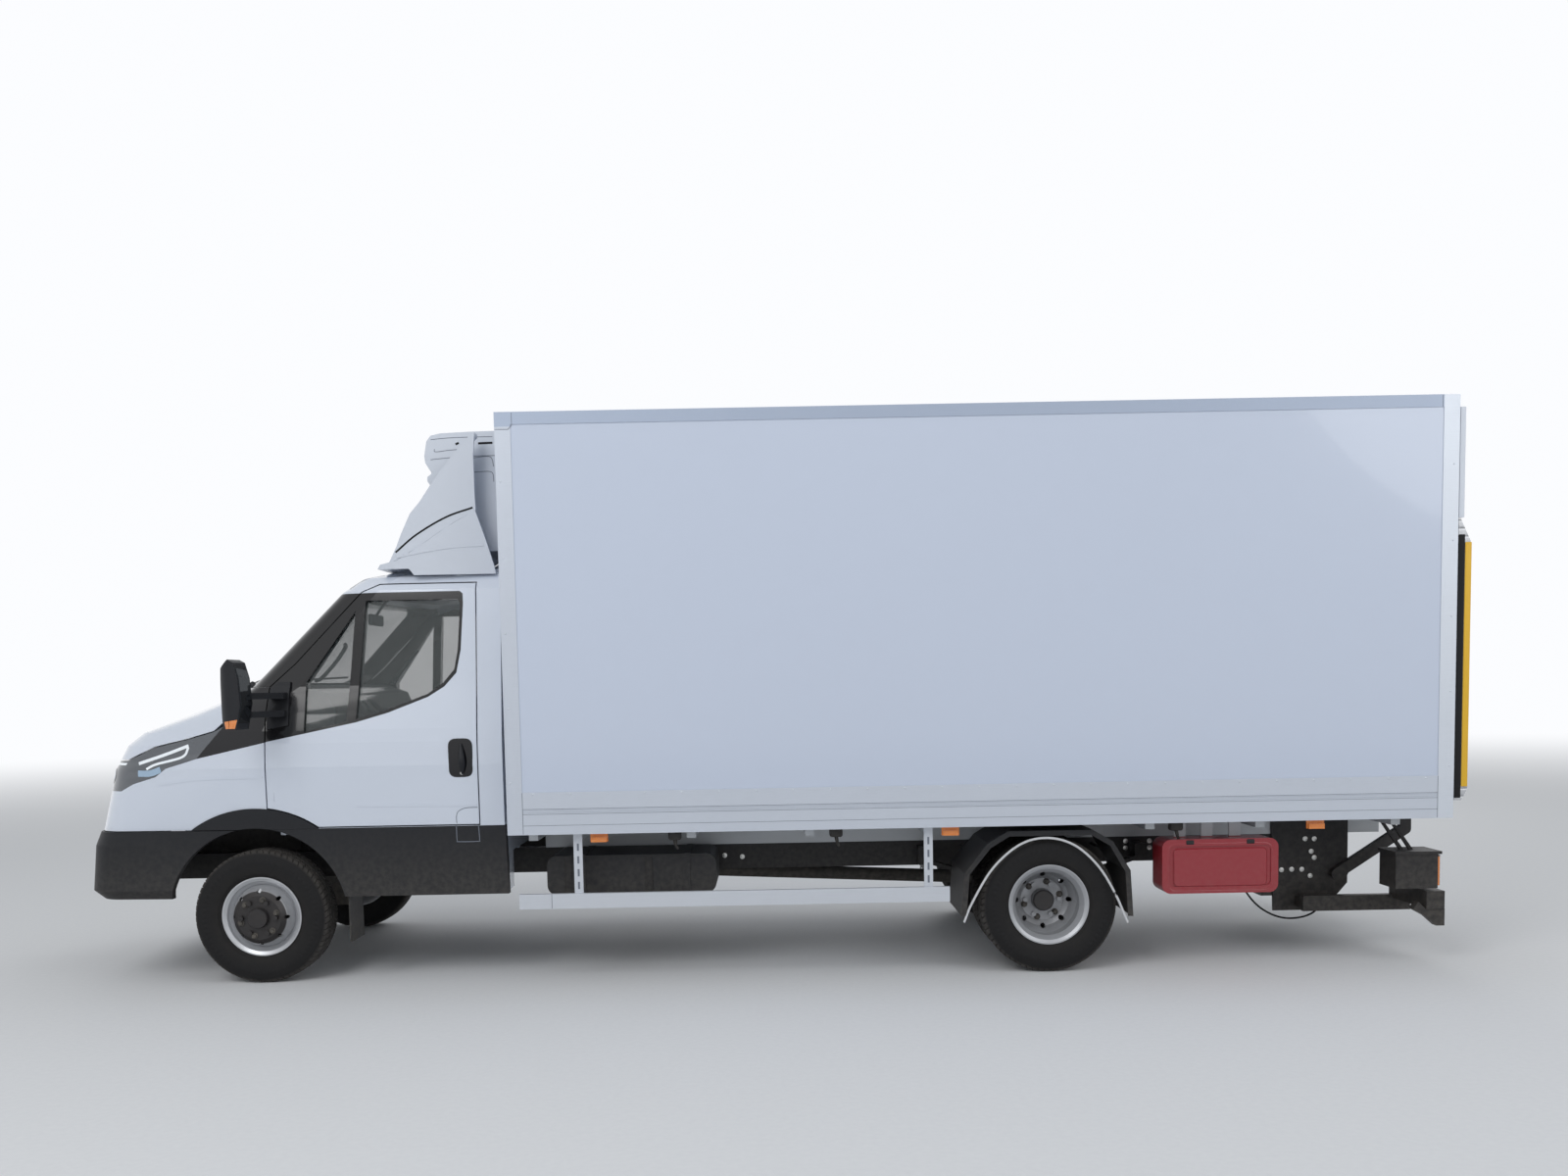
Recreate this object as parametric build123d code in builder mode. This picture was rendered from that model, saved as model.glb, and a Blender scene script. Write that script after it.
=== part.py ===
"""Light refrigerated truck: chassis cab, insulated box body, roof fridge unit and tail lift.

Millimetres. +X is forward, +Y the vehicle's left, +Z up, with the ground at Z = 0 and the origin
below the middle of the overall length. Most side-view places are given as a distance behind the
front axle and a height, and at() turns the distance into X.
"""
import os
from collections import namedtuple
from math import atan2, cos, hypot, radians, sin

from build123d import *

os.makedirs("parts", exist_ok=True)

# Running gear
WHEELBASE = 4350.0
FRONT_AXLE_X = 2775.0
AXLE_HEIGHT = 372.0
TYRE_RADIUS = 372.0
RIM_RADIUS = 203.0
RIM_FLANGE_RADIUS = 220.5
FRONT_WHEEL_Y = 862.0
REAR_OUTER_Y = 955.5
REAR_INNER_Y = 699.5
HUB_BORE = 32.0
SHAFT_CLEARANCE = 0.05
KINGPIN_Y = 715.0
KINGPIN_RADIUS = 18.0
BALL_LOW_Z = 250.0
BALL_HIGH_Z = 500.0

# Frame and subframe
RAIL_Y = 430.0
RAIL_FLANGE = 70.0
RAIL_SHEET = 7.0
RAIL_BOTTOM_Z = 522.0
RAIL_TOP_Z = 668.0
RAIL_FRONT = -880.0
RAIL_REAR = 6120.0
SUBFRAME_WIDTH = 60.0

# Box body
BOX_FRONT = 1415.0
BOX_REAR = 6512.0
BOX_HALF_WIDTH = 1130.0
BOX_BOTTOM_Z = 818.0
BOX_TOP_Z = 3062.0
WALL = 80.0
FLOOR_Z = 960.0
FLOOR_LOW_Z = BOX_BOTTOM_Z + 10
PANEL_RECESS = 4.0
POST_LENGTH = 85.0
RAIL_HEIGHT = 65.0
SKIRT_TOP_Z = 1048.0
SKIRT_GROOVES = (937.0, 949.0)
GROOVE = 3.0
SKIN_GAP = 0.3
SIDE_INNER = BOX_HALF_WIDTH - WALL
PANEL_Y = BOX_HALF_WIDTH - PANEL_RECESS
POST_REAR = BOX_FRONT + POST_LENGTH
FRAME_FRONT = BOX_REAR - POST_LENGTH
RAIL_LOW_Z = BOX_TOP_Z - RAIL_HEIGHT
POST_INNER = BOX_HALF_WIDTH - POST_LENGTH
CEILING_Z = BOX_TOP_Z - WALL

# Cab
CAB_REAR = 1375.0
CAB_BASE_Z = 863.0
CAB_WALL = 60.0
NOSE_WALL = 28.0
GLASS_INSET = 12.0
GLASS_SHEET = 5.0
SHUT_GAP = 7.0
DOOR_FRONT = 80.0
DOOR_REAR = 1236.0
DOOR_SILL_Z = 872.0
DOOR_TOP_Z = 2192.0
SCUTTLE_Z = 1640.0
BONNET_REAR_Z = 1600.0
COWL_Z = 1575.0
ARCH_RADIUS = 497.0
ARCH_BAND = 108.0
SILL_BOTTOM_Z = 484.0

# Tail lift
LIFT_PIVOT = (6159.0, 431.0)
LIFT_HINGE = (6556.0, 868.0)
LIFT_ELBOW = (6558.0, 690.0)
PLATFORM_FRONT = 6519.0
PLATFORM_REAR = 6590.0
PLATFORM_BOTTOM_Z = 912.0
PLATFORM_TOP_Z = 2412.0
PLATFORM_HALF_WIDTH = 1120.0
FLAP_TOP_Z = 2998.0
FLAP_THICKNESS = 28.0
FLAP_HINGE = (6548.0, 3010.0)
FLAP_HINGE_PLACES = (-700.0, 0.0, 700.0)
FLAP_PIN_RADIUS = 4.0
FLAP_EYE_RADIUS = 7.0
FLAP_EYE_HALF = 20.0
FLAP_PIN_HALF = 45.0
FLAP_EYE_GAP = 2.0
MOVING_GAP = 8.0
ARM_INNER_Y = 452.0
ARM_WIDTH = 40.0
ARM_DEPTH = 64.0
LUG_DEPTH = 56.0
LUG_BORE_RADIUS = 16.0
PLATFORM_LUG_Y = (270.0, 330.0)
LIFT_PIN_RADIUS = 22.0


def at(behind):
    """X of a place a distance behind the front axle."""
    return FRONT_AXLE_X - behind


def outline(*places):
    """Side-view points, each a distance behind the front axle and a height."""
    return [(at(behind), height) for behind, height in places]


def side_prism(places, y_from, y_to, mode=Mode.ADD):
    """A side-view outline carried across from one width to another."""
    with BuildSketch(Plane.XZ.offset(-y_to)) as profile:
        with BuildLine():
            Polyline(*outline(*places), close=True)
        make_face()
    extrude(profile.sketch, amount=y_to - y_from, mode=mode)


def rounded_prism(places, radius, y_from, y_to, mode=Mode.ADD):
    """A side-view outline with all its corners rounded, carried across."""
    with BuildSketch(Plane.XZ.offset(-y_to)) as profile:
        with BuildLine():
            Polyline(*outline(*places), close=True)
        make_face()
        fillet(profile.vertices(), radius=radius)
    extrude(profile.sketch, amount=y_to - y_from, mode=mode)


def block(front, rear, y_from, y_to, low, high, mode=Mode.ADD):
    """A box between two distances behind the axle, two widths and two heights."""
    with Locations((at((front + rear) / 2), (y_from + y_to) / 2, (low + high) / 2)):
        Box(rear - front, y_to - y_from, high - low, mode=mode)


def cross_rod(behind, height, radius, y_from, y_to, mode=Mode.ADD):
    """A round bar or bore that lies across the truck."""
    with Locations(Plane((at(behind), (y_from + y_to) / 2, height), z_dir=(0, 1, 0))):
        Cylinder(radius, y_to - y_from, mode=mode)


def span(sign, inner, outer):
    """Two distances from the truck's middle as the low and high Y of a piece on one side."""
    return sorted((sign * inner, sign * outer))


def write(part, name):
    """Label a finished piece and write its STEP file."""
    part.label = name
    export_step(part, f"parts/{name}.step")


# Cab body: plan outlines at rising heights, which a ruled loft joins
# front: middle of the nose or screen; corner and corner_half: the sharp corner before rounding;
# shoulder and shoulder_half: widest place ahead of the straight side; rear_half: at the back wall
CabLevel = namedtuple("CabLevel", "z front corner corner_half shoulder shoulder_half rear_half radius")
CAB_LEVELS = [
    CabLevel(863, -985, -880, 950, 60, 995, 1000, 190),
    CabLevel(1200, -990, -765, 945, 60, 1003, 1005, 190),
    CabLevel(1330, -940, -700, 915, 60, 990, 1002, 190),
    CabLevel(1400, -850, -615, 890, 60, 978, 996, 180),
    CabLevel(1500, -600, -320, 860, 100, 955, 984, 150),
    CabLevel(1600, -330, -70, 850, 200, 935, 971, 130),
    CabLevel(1640, -250, -15, 850, 260, 928, 966, 120),
    CabLevel(2160, 320, 495, 822, 700, 880, 905, 110),
    CabLevel(2235, 430, 600, 775, 800, 835, 860, 110),
    CabLevel(2275, 570, 760, 690, 950, 750, 785, 100),
]
BUMPER_LEVELS = [
    CabLevel(480, -1000, -900, 925, -380, 965, 970, 150),
    CabLevel(530, -1040, -945, 960, -380, 990, 990, 150),
    CabLevel(781, -1030, -915, 960, -380, 992, 994, 150),
    CabLevel(858, -990, -885, 955, -380, 992, 994, 150),
]


def level_face(level, inset, z, rear):
    """One plan outline, drawn in by an inset, as a face."""
    corner_half = level.corner_half - inset
    shoulder_half = level.shoulder_half - inset
    rear_half = level.rear_half - inset
    corner = level.corner + inset
    rear_x = at(rear - inset)
    with BuildSketch(Plane.XY.offset(z)) as plan:
        with BuildLine():
            ThreePointArc((at(corner), -corner_half), (at(level.front + inset), 0), (at(corner), corner_half))
            Polyline(
                (at(corner), corner_half),
                (at(level.shoulder), shoulder_half),
                (rear_x, rear_half),
                (rear_x, -rear_half),
                (at(level.shoulder), -shoulder_half),
                (at(corner), -corner_half),
            )
        make_face()
        corners = plan.vertices().filter_by_position(Axis.X, at(corner) - 0.5, at(corner) + 0.5)
        fillet(corners, radius=max(level.radius - inset, 20))
    return plan.sketch.faces()[0]


def cab_volume(levels, inset, rear, drop_from):
    """The space inside the cab's plan outlines, drawn in by an inset; inset volumes run out below."""
    with BuildPart() as volume:
        faces = []
        for index, level in enumerate(levels):
            z = level.z
            if level.z > drop_from:
                z = level.z - inset
            if index == 0 and inset:
                z = level.z - 1
            faces.append(level_face(level, inset, z, rear))
        loft(faces, ruled=True)
    return volume.part


ROOF_FROM_Z = 1250.0
TRIM_PROUD = 8.0
cab_outer = cab_volume(CAB_LEVELS, 0, CAB_REAR, ROOF_FROM_Z)
cab_inner = cab_volume(CAB_LEVELS, CAB_WALL, CAB_REAR, ROOF_FROM_Z)
nose_inner = cab_volume(CAB_LEVELS, NOSE_WALL, CAB_REAR, ROOF_FROM_Z)
glass_outer = cab_volume(CAB_LEVELS, GLASS_INSET, CAB_REAR, ROOF_FROM_Z)
glass_inner = cab_volume(CAB_LEVELS, GLASS_INSET + GLASS_SHEET, CAB_REAR, ROOF_FROM_Z)
trim_outer = cab_volume(CAB_LEVELS, -TRIM_PROUD, CAB_REAR, ROOF_FROM_Z)
cab_skin = cab_outer - cab_inner
nose_skin = cab_outer - nose_inner
glass_skin = glass_outer - glass_inner

# Side-view outlines of the cab's panels
FAR_AHEAD = -1200.0
SIDE_REACH = 1100.0
BONNET_LINE = [(-705, 1256), (-550, 1326), (-366, 1367), (-219, 1407), (-142, 1480), (-75, BONNET_REAR_Z)]
LAMP_LOW_LINE = [(-744, 1083), (-669, 1122), (-541, 1160), (-484, 1204), (-311, 1255)]
LAMP_TIP = (-165, 1430)
LAMP_LOW_Z = 1085.0
WING_FRONT_Z = LAMP_LOW_Z - 3
WING_REAR_Z = 1338.0
FOG_Y = (760.0, 850.0)
FOG_LENS = (-952.0, -915.0)
FOG_LENS_Z = (579.0, 700.0)
FOG_RECESS_Z = (575.0, 770.0)
DOOR_TOP_FRONT = (600, 2150)
DOOR_OUTLINE = [
    (DOOR_FRONT, DOOR_SILL_Z),
    (DOOR_FRONT, SCUTTLE_Z),
    (226, 1764),
    DOOR_TOP_FRONT,
    (700, DOOR_TOP_Z),
    (DOOR_REAR, DOOR_TOP_Z),
    (DOOR_REAR, DOOR_SILL_Z),
]
DOOR_OPENING = [
    (DOOR_FRONT - SHUT_GAP, DOOR_SILL_Z - SHUT_GAP),
    (DOOR_FRONT - SHUT_GAP, SCUTTLE_Z + 2),
    (222, 1768),
    (596, 2155),
    (698, DOOR_TOP_Z + SHUT_GAP),
    (DOOR_REAR + SHUT_GAP, DOOR_TOP_Z + SHUT_GAP),
    (DOOR_REAR + SHUT_GAP, DOOR_SILL_Z - SHUT_GAP),
]
WINDOW_OUTLINE = [
    (628, 2105),
    (1135, 2105),
    (1152, 2085),
    (1137, 1827),
    (1117, 1720),
    (1055, 1646),
    (972, 1589),
    (753, 1507),
    (575, 1456),
]
QUARTER_OUTLINE = [(296, 1661), (571, 2051), (524, 1446), (290, 1392)]
DOOR_DEPTH_Y = 835.0
SIDES = (("left", 1), ("right", -1))


# Cab panels
WING_TOP_LINE = LAMP_LOW_LINE + [(DOOR_FRONT - SHUT_GAP, WING_REAR_Z)]
GRILLE_HALF_WIDTH = 640.0
GRILLE_LOW_Z = 900.0
GRILLE_TOP_Z = 1250.0
GRILLE_SLATS = 5
GRILLE_SLAT_HEIGHT = 30.0
GRILLE_FRAME = 40.0
GRILLE_SIDE = 60.0
GRILLE_SPINE_HALF = 20.0
DOOR_HINGE = (120.0, 990.0)
DOOR_HINGE_HEIGHTS = (1040.0, 1200.0)
DOOR_HINGE_HALF = 20.0
HINGE_PIN_RADIUS = 5.0
HINGE_EYE_RADIUS = 9.0
HINGE_POCKET_GAP = 1.0
HINGE_PIN_PAST = 8.0
BONNET_HINGE = (-78.0, 1596.0)
BONNET_HINGE_Y = 750.0
BONNET_ARM = 10.0
BONNET_ARM_FRONT = -122.0
BONNET_SIDE_GAP = 2.0
BONNET_NOTCH = (20.0, 30.0)
BONNET_LEVEL = CAB_LEVELS[5]
BONNET_BEVEL = 18.0
BONNET_BEVEL_DEPTH = 40.0
BONNET_HINGE_HALF = 7.0
BONNET_PIN_RADIUS = 4.0
BONNET_GAP = 11.0

with BuildPart() as bonnet:
    add(nose_skin)
    side_prism(
        [(FAR_AHEAD, BONNET_LINE[0][1])] + BONNET_LINE + [(FAR_AHEAD, BONNET_REAR_Z)],
        -SIDE_REACH,
        SIDE_REACH,
        mode=Mode.INTERSECT,
    )
    bevel_top_z = BONNET_REAR_Z + BONNET_BEVEL_DEPTH / 2 + 2
    bevel_top = level_face(BONNET_LEVEL, -BONNET_BEVEL / 2, bevel_top_z, CAB_REAR)
    bevel_foot = level_face(BONNET_LEVEL, BONNET_BEVEL, BONNET_REAR_Z - BONNET_BEVEL_DEPTH, CAB_REAR)
    loft([bevel_foot, bevel_top], ruled=True, mode=Mode.SUBTRACT)
    arm_from = BONNET_HINGE_Y + BONNET_HINGE_HALF + BONNET_SIDE_GAP
    pin_from = BONNET_HINGE_Y - BONNET_HINGE_HALF - BONNET_SIDE_GAP
    for sign in (-1, 1):
        near, far = span(sign, arm_from, arm_from + BONNET_ARM)
        block(BONNET_ARM_FRONT, BONNET_HINGE[0], near, far, BONNET_HINGE[1] - 10, BONNET_HINGE[1] + 2)
        near, far = span(sign, pin_from, arm_from + BONNET_ARM)
        cross_rod(*BONNET_HINGE, BONNET_PIN_RADIUS, near, far)

with BuildPart() as headlamps:
    add(nose_skin)
    lamp_shape = [(FAR_AHEAD, LAMP_LOW_Z)] + LAMP_LOW_LINE + [LAMP_TIP]
    lamp_shape += [(u, z - SHUT_GAP) for u, z in reversed(BONNET_LINE[:4])]
    lamp_shape += [(FAR_AHEAD, BONNET_LINE[0][1] - SHUT_GAP)]
    side_prism(lamp_shape, -SIDE_REACH, SIDE_REACH, mode=Mode.INTERSECT)
    block(FAR_AHEAD, 0, -GRILLE_HALF_WIDTH, GRILLE_HALF_WIDTH, GRILLE_LOW_Z, 1500, mode=Mode.SUBTRACT)
    for sign in (-1, 1):
        near, far = span(sign, FOG_Y[0] + SKIN_GAP, FOG_Y[1] - SKIN_GAP)
        block(*FOG_LENS, near, far, *FOG_LENS_Z)

with BuildPart() as scuttle:
    add(nose_skin)
    side_prism(
        [
            LAMP_LOW_LINE[4],
            (LAMP_TIP[0] + SKIN_GAP, LAMP_TIP[1]),
            (BONNET_LINE[4][0] + BONNET_GAP, BONNET_LINE[4][1]),
            (BONNET_LINE[5][0] + BONNET_GAP, BONNET_REAR_Z + SHUT_GAP),
            (FAR_AHEAD, BONNET_REAR_Z + SHUT_GAP),
            (FAR_AHEAD, SCUTTLE_Z),
            (DOOR_FRONT - SHUT_GAP, SCUTTLE_Z),
            (DOOR_FRONT - SHUT_GAP, WING_REAR_Z),
        ],
        -SIDE_REACH,
        SIDE_REACH,
        mode=Mode.INTERSECT,
    )
    scuttle_front = level_face(BONNET_LEVEL, NOSE_WALL + SHUT_GAP, BONNET_REAR_Z + 1, CAB_REAR)
    with BuildPart(mode=Mode.SUBTRACT):
        ledge_front = BONNET_LINE[5][0] + BONNET_GAP
        block(FAR_AHEAD, ledge_front, -SIDE_REACH, SIDE_REACH, BONNET_REAR_Z + 1, SCUTTLE_Z + 1)
        extrude(scuttle_front, amount=100, dir=(0, 0, 1), mode=Mode.SUBTRACT)
    for sign in (-1, 1):
        near, far = span(sign, BONNET_HINGE_Y - BONNET_NOTCH[0], BONNET_HINGE_Y + BONNET_NOTCH[1])
        notch_top = BONNET_REAR_Z + SHUT_GAP
        block(BONNET_HINGE[0] - 20, 60, near, far, COWL_Z - 30, notch_top, mode=Mode.SUBTRACT)

with BuildPart() as front_wings:
    add(nose_skin)
    wing_shape = [(FAR_AHEAD, CAB_BASE_Z), (FAR_AHEAD, WING_FRONT_Z)]
    wing_shape += [(u, z - SKIN_GAP) for u, z in WING_TOP_LINE]
    wing_shape += [(DOOR_FRONT - SHUT_GAP, CAB_BASE_Z)]
    side_prism(wing_shape, -SIDE_REACH, SIDE_REACH, mode=Mode.INTERSECT)
    block(FAR_AHEAD, 0, -GRILLE_HALF_WIDTH, GRILLE_HALF_WIDTH, 800, 1500, mode=Mode.SUBTRACT)
    cross_rod(0, AXLE_HEIGHT, ARCH_RADIUS + ARCH_BAND + 1, -SIDE_REACH, SIDE_REACH, mode=Mode.SUBTRACT)

with BuildPart() as grille:
    add(nose_skin)
    block(
        FAR_AHEAD,
        0,
        -GRILLE_HALF_WIDTH + SKIN_GAP,
        GRILLE_HALF_WIDTH - SKIN_GAP,
        CAB_BASE_Z,
        GRILLE_TOP_Z,
        mode=Mode.INTERSECT,
    )
    pitch = (GRILLE_TOP_Z - GRILLE_LOW_Z - GRILLE_FRAME) / GRILLE_SLATS
    for slat in range(GRILLE_SLATS):
        low = GRILLE_LOW_Z + GRILLE_FRAME + slat * pitch
        high = low + pitch - GRILLE_SLAT_HEIGHT
        for sign in (-1, 1):
            near, far = span(sign, GRILLE_SPINE_HALF, GRILLE_HALF_WIDTH - GRILLE_SIDE)
            block(FAR_AHEAD, 0, near, far, low, high, mode=Mode.SUBTRACT)

# Door hinge in plan, each place a distance behind the axle and outward: the gooseneck arm on the
# pillar and the pocket in the door that it swings through
HINGE_ARM = [(114, 990), (114, 921), (50, 921), (50, 909), (126, 909), (126, 990)]
HINGE_POCKET = [(131, 900), (131, 990), (124, 998), (112, 996), (70, 986), (70, 900)]


def hinge_prism(places, sign, height, half, mode=Mode.ADD):
    """A plan outline of the door hinge, carried a half height up and down."""
    with BuildSketch(Plane.XY.offset(height - half)) as plan:
        with BuildLine():
            Polyline(*[(at(behind), sign * out) for behind, out in places], close=True)
        make_face()
    extrude(plan.sketch, amount=2 * half, mode=mode)


def hinge_cylinder(radius, sign, height, half, mode=Mode.ADD):
    """An upright round piece on the door hinge's axis."""
    with Locations((at(DOOR_HINGE[0]), sign * DOOR_HINGE[1], height)):
        Cylinder(radius, 2 * half, mode=mode)


doors = {}
door_glasses = {}
for side, sign in SIDES:
    near, far = span(sign, DOOR_DEPTH_Y, SIDE_REACH)
    pocket_half = DOOR_HINGE_HALF + HINGE_POCKET_GAP
    with BuildPart() as door:
        add(cab_skin)
        side_prism(DOOR_OUTLINE, near, far, mode=Mode.INTERSECT)
        side_prism(WINDOW_OUTLINE, near, far, mode=Mode.SUBTRACT)
        side_prism(QUARTER_OUTLINE, near, far, mode=Mode.SUBTRACT)
        cross_rod(0, AXLE_HEIGHT, ARCH_RADIUS + ARCH_BAND + SHUT_GAP, near, far, mode=Mode.SUBTRACT)
        for hinge_z in DOOR_HINGE_HEIGHTS:
            hinge_prism(HINGE_POCKET, sign, hinge_z, pocket_half, mode=Mode.SUBTRACT)
            eye_pocket = HINGE_EYE_RADIUS + HINGE_POCKET_GAP
            hinge_cylinder(eye_pocket, sign, hinge_z, pocket_half, mode=Mode.SUBTRACT)
            hinge_cylinder(HINGE_PIN_RADIUS, sign, hinge_z, DOOR_HINGE_HALF + HINGE_PIN_PAST)
    doors[side] = door
    with BuildPart() as door_glass:
        add(glass_skin)
        with BuildPart(mode=Mode.INTERSECT):
            side_prism(WINDOW_OUTLINE, near, far)
            side_prism(QUARTER_OUTLINE, near, far)
    door_glasses[side] = door_glass

# Windscreen opening in the front view: half width and height
SCREEN_OUTLINE = [(-800, 1668), (800, 1668), (745, 2135), (-745, 2135)]
SCREEN_REAR = 720.0
SCREEN_CORNER = 50.0


def screen_prism(mode):
    """The windscreen's outline carried back from ahead of the nose to mid cab."""
    with BuildSketch(Plane.YZ.offset(at(SCREEN_REAR))) as profile:
        with BuildLine():
            Polyline(*SCREEN_OUTLINE, close=True)
        make_face()
        fillet(profile.vertices(), radius=SCREEN_CORNER)
    extrude(profile.sketch, amount=SCREEN_REAR - FAR_AHEAD, mode=mode)


with BuildPart() as windscreen:
    add(glass_skin)
    screen_prism(Mode.INTERSECT)

SILL_OUTER_Y = 1003.0
SILL_WALL = 50.0
CABIN_FLOOR_Z = 903.0
CABIN_HALF_WIDTH = DOOR_DEPTH_Y - 6
SILL_BEAM_INNER = 780.0
SILL_BEAM_OUTER = SILL_OUTER_Y - SILL_WALL - SKIN_GAP
BAND_RADIUS = ARCH_RADIUS + ARCH_BAND
BULKHEAD_FRONT = 84.0
BULKHEAD_REAR = 112.0
BULKHEAD_LOW_Z = 812.0
COWL_FRONT = -280.0
COWL_HALF_WIDTH = 790.0
COWL_SHEET = 15.0
PILLAR_FRONT = 24.0
PILLAR_INNER = 760.0
PILLAR_LOW_Z = 880.0
PILLAR_LAP = 6.0
SHELL_LAP = 4.0
ABOVE_CAB_Z = 2400.0
BEHIND_CAB = 1500.0
DOOR_POCKET = 60.0
SILL_BEAM_FRONT = 560.0
BACK_PANEL_LOW_Z = 700.0
BONNET_EYE_RADIUS = 7.0
CAB_MOUNTS = (150.0, 1250.0)
CAB_MOUNT_LENGTH = 90.0
CAB_MOUNT_Y = (375.0, 425.0)
with BuildPart() as cowl_plate:
    add(cab_inner)
    near, far = -COWL_HALF_WIDTH, COWL_HALF_WIDTH
    block(COWL_FRONT, BULKHEAD_REAR, near, far, COWL_Z - COWL_SHEET, COWL_Z, mode=Mode.INTERSECT)
with BuildPart() as hinge_pillars:
    add(nose_inner)
    block(PILLAR_FRONT, BULKHEAD_FRONT + PILLAR_LAP, -1000, 1000, PILLAR_LOW_Z, COWL_Z, mode=Mode.INTERSECT)
    block(0, DOOR_REAR, -PILLAR_INNER, PILLAR_INNER, CAB_BASE_Z, COWL_Z + 1, mode=Mode.SUBTRACT)
    for low, high in ((-1000, -CABIN_HALF_WIDTH), (CABIN_HALF_WIDTH, 1000)):
        block(DOOR_FRONT - SHUT_GAP, DOOR_REAR, low, high, CAB_BASE_Z, COWL_Z + 1, mode=Mode.SUBTRACT)
    cross_rod(0, AXLE_HEIGHT, BAND_RADIUS + 1, -1000, 1000, mode=Mode.SUBTRACT)
with BuildPart() as cab_shell:
    add(cab_skin)
    side_prism(
        [
            (DOOR_FRONT - SHUT_GAP + SHELL_LAP, CAB_BASE_Z),
            (DOOR_FRONT - SHUT_GAP + SHELL_LAP, SCUTTLE_Z + 2),
            (FAR_AHEAD, SCUTTLE_Z + 2),
            (FAR_AHEAD, ABOVE_CAB_Z),
            (BEHIND_CAB, ABOVE_CAB_Z),
            (BEHIND_CAB, CAB_BASE_Z),
        ],
        -SIDE_REACH,
        SIDE_REACH,
        mode=Mode.INTERSECT,
    )
    screen_prism(Mode.SUBTRACT)
    side_prism(DOOR_OPENING, DOOR_DEPTH_Y - DOOR_POCKET, SIDE_REACH, mode=Mode.SUBTRACT)
    side_prism(DOOR_OPENING, -SIDE_REACH, -DOOR_DEPTH_Y + DOOR_POCKET, mode=Mode.SUBTRACT)
    cross_rod(0, AXLE_HEIGHT, BAND_RADIUS + 1, -SIDE_REACH, SIDE_REACH, mode=Mode.SUBTRACT)
    floor_rear = CAB_REAR - CAB_WALL + 1
    block(BULKHEAD_FRONT, floor_rear, -CABIN_HALF_WIDTH, CABIN_HALF_WIDTH, CAB_BASE_Z, CABIN_FLOOR_Z)
    block(BULKHEAD_FRONT, BULKHEAD_REAR, -CABIN_HALF_WIDTH, CABIN_HALF_WIDTH, BULKHEAD_LOW_Z, COWL_Z)
    add(cowl_plate.part)
    for low, high in ((-SILL_BEAM_OUTER, -SILL_BEAM_INNER), (SILL_BEAM_INNER, SILL_BEAM_OUTER)):
        block(SILL_BEAM_FRONT, CAB_REAR, low, high, SILL_BOTTOM_Z + 10, DOOR_SILL_Z - 8)
    back_front = CAB_REAR - CAB_WALL
    block(back_front, CAB_REAR, -SILL_BEAM_OUTER, SILL_BEAM_OUTER, BACK_PANEL_LOW_Z, CAB_BASE_Z + 1)
    add(hinge_pillars.part)
    for sign in (-1, 1):
        for hinge_z in DOOR_HINGE_HEIGHTS:
            hinge_prism(HINGE_ARM, sign, hinge_z, DOOR_HINGE_HALF)
            hinge_cylinder(HINGE_EYE_RADIUS, sign, hinge_z, DOOR_HINGE_HALF)
            pin_bore = HINGE_PIN_RADIUS + SHAFT_CLEARANCE
            hinge_cylinder(pin_bore, sign, hinge_z, DOOR_HINGE_HALF, mode=Mode.SUBTRACT)
        near, far = span(sign, BONNET_HINGE_Y - BONNET_HINGE_HALF, BONNET_HINGE_Y + BONNET_HINGE_HALF)
        bracket_front = BONNET_HINGE[0] - BONNET_EYE_RADIUS
        bracket_rear = BONNET_HINGE[0] + BONNET_EYE_RADIUS
        block(bracket_front, bracket_rear, near, far, COWL_Z - 14, BONNET_HINGE[1])
        block(BONNET_HINGE[0], 40, near, far, COWL_Z - 14, COWL_Z)
        cross_rod(*BONNET_HINGE, BONNET_EYE_RADIUS, near, far)
        cross_rod(*BONNET_HINGE, BONNET_PIN_RADIUS + SHAFT_CLEARANCE, near, far, mode=Mode.SUBTRACT)
        near, far = span(sign, *CAB_MOUNT_Y)
        for mount in CAB_MOUNTS:
            block(mount, mount + CAB_MOUNT_LENGTH, near, far, RAIL_TOP_Z + SKIN_GAP, CAB_BASE_Z + 1)

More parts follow.
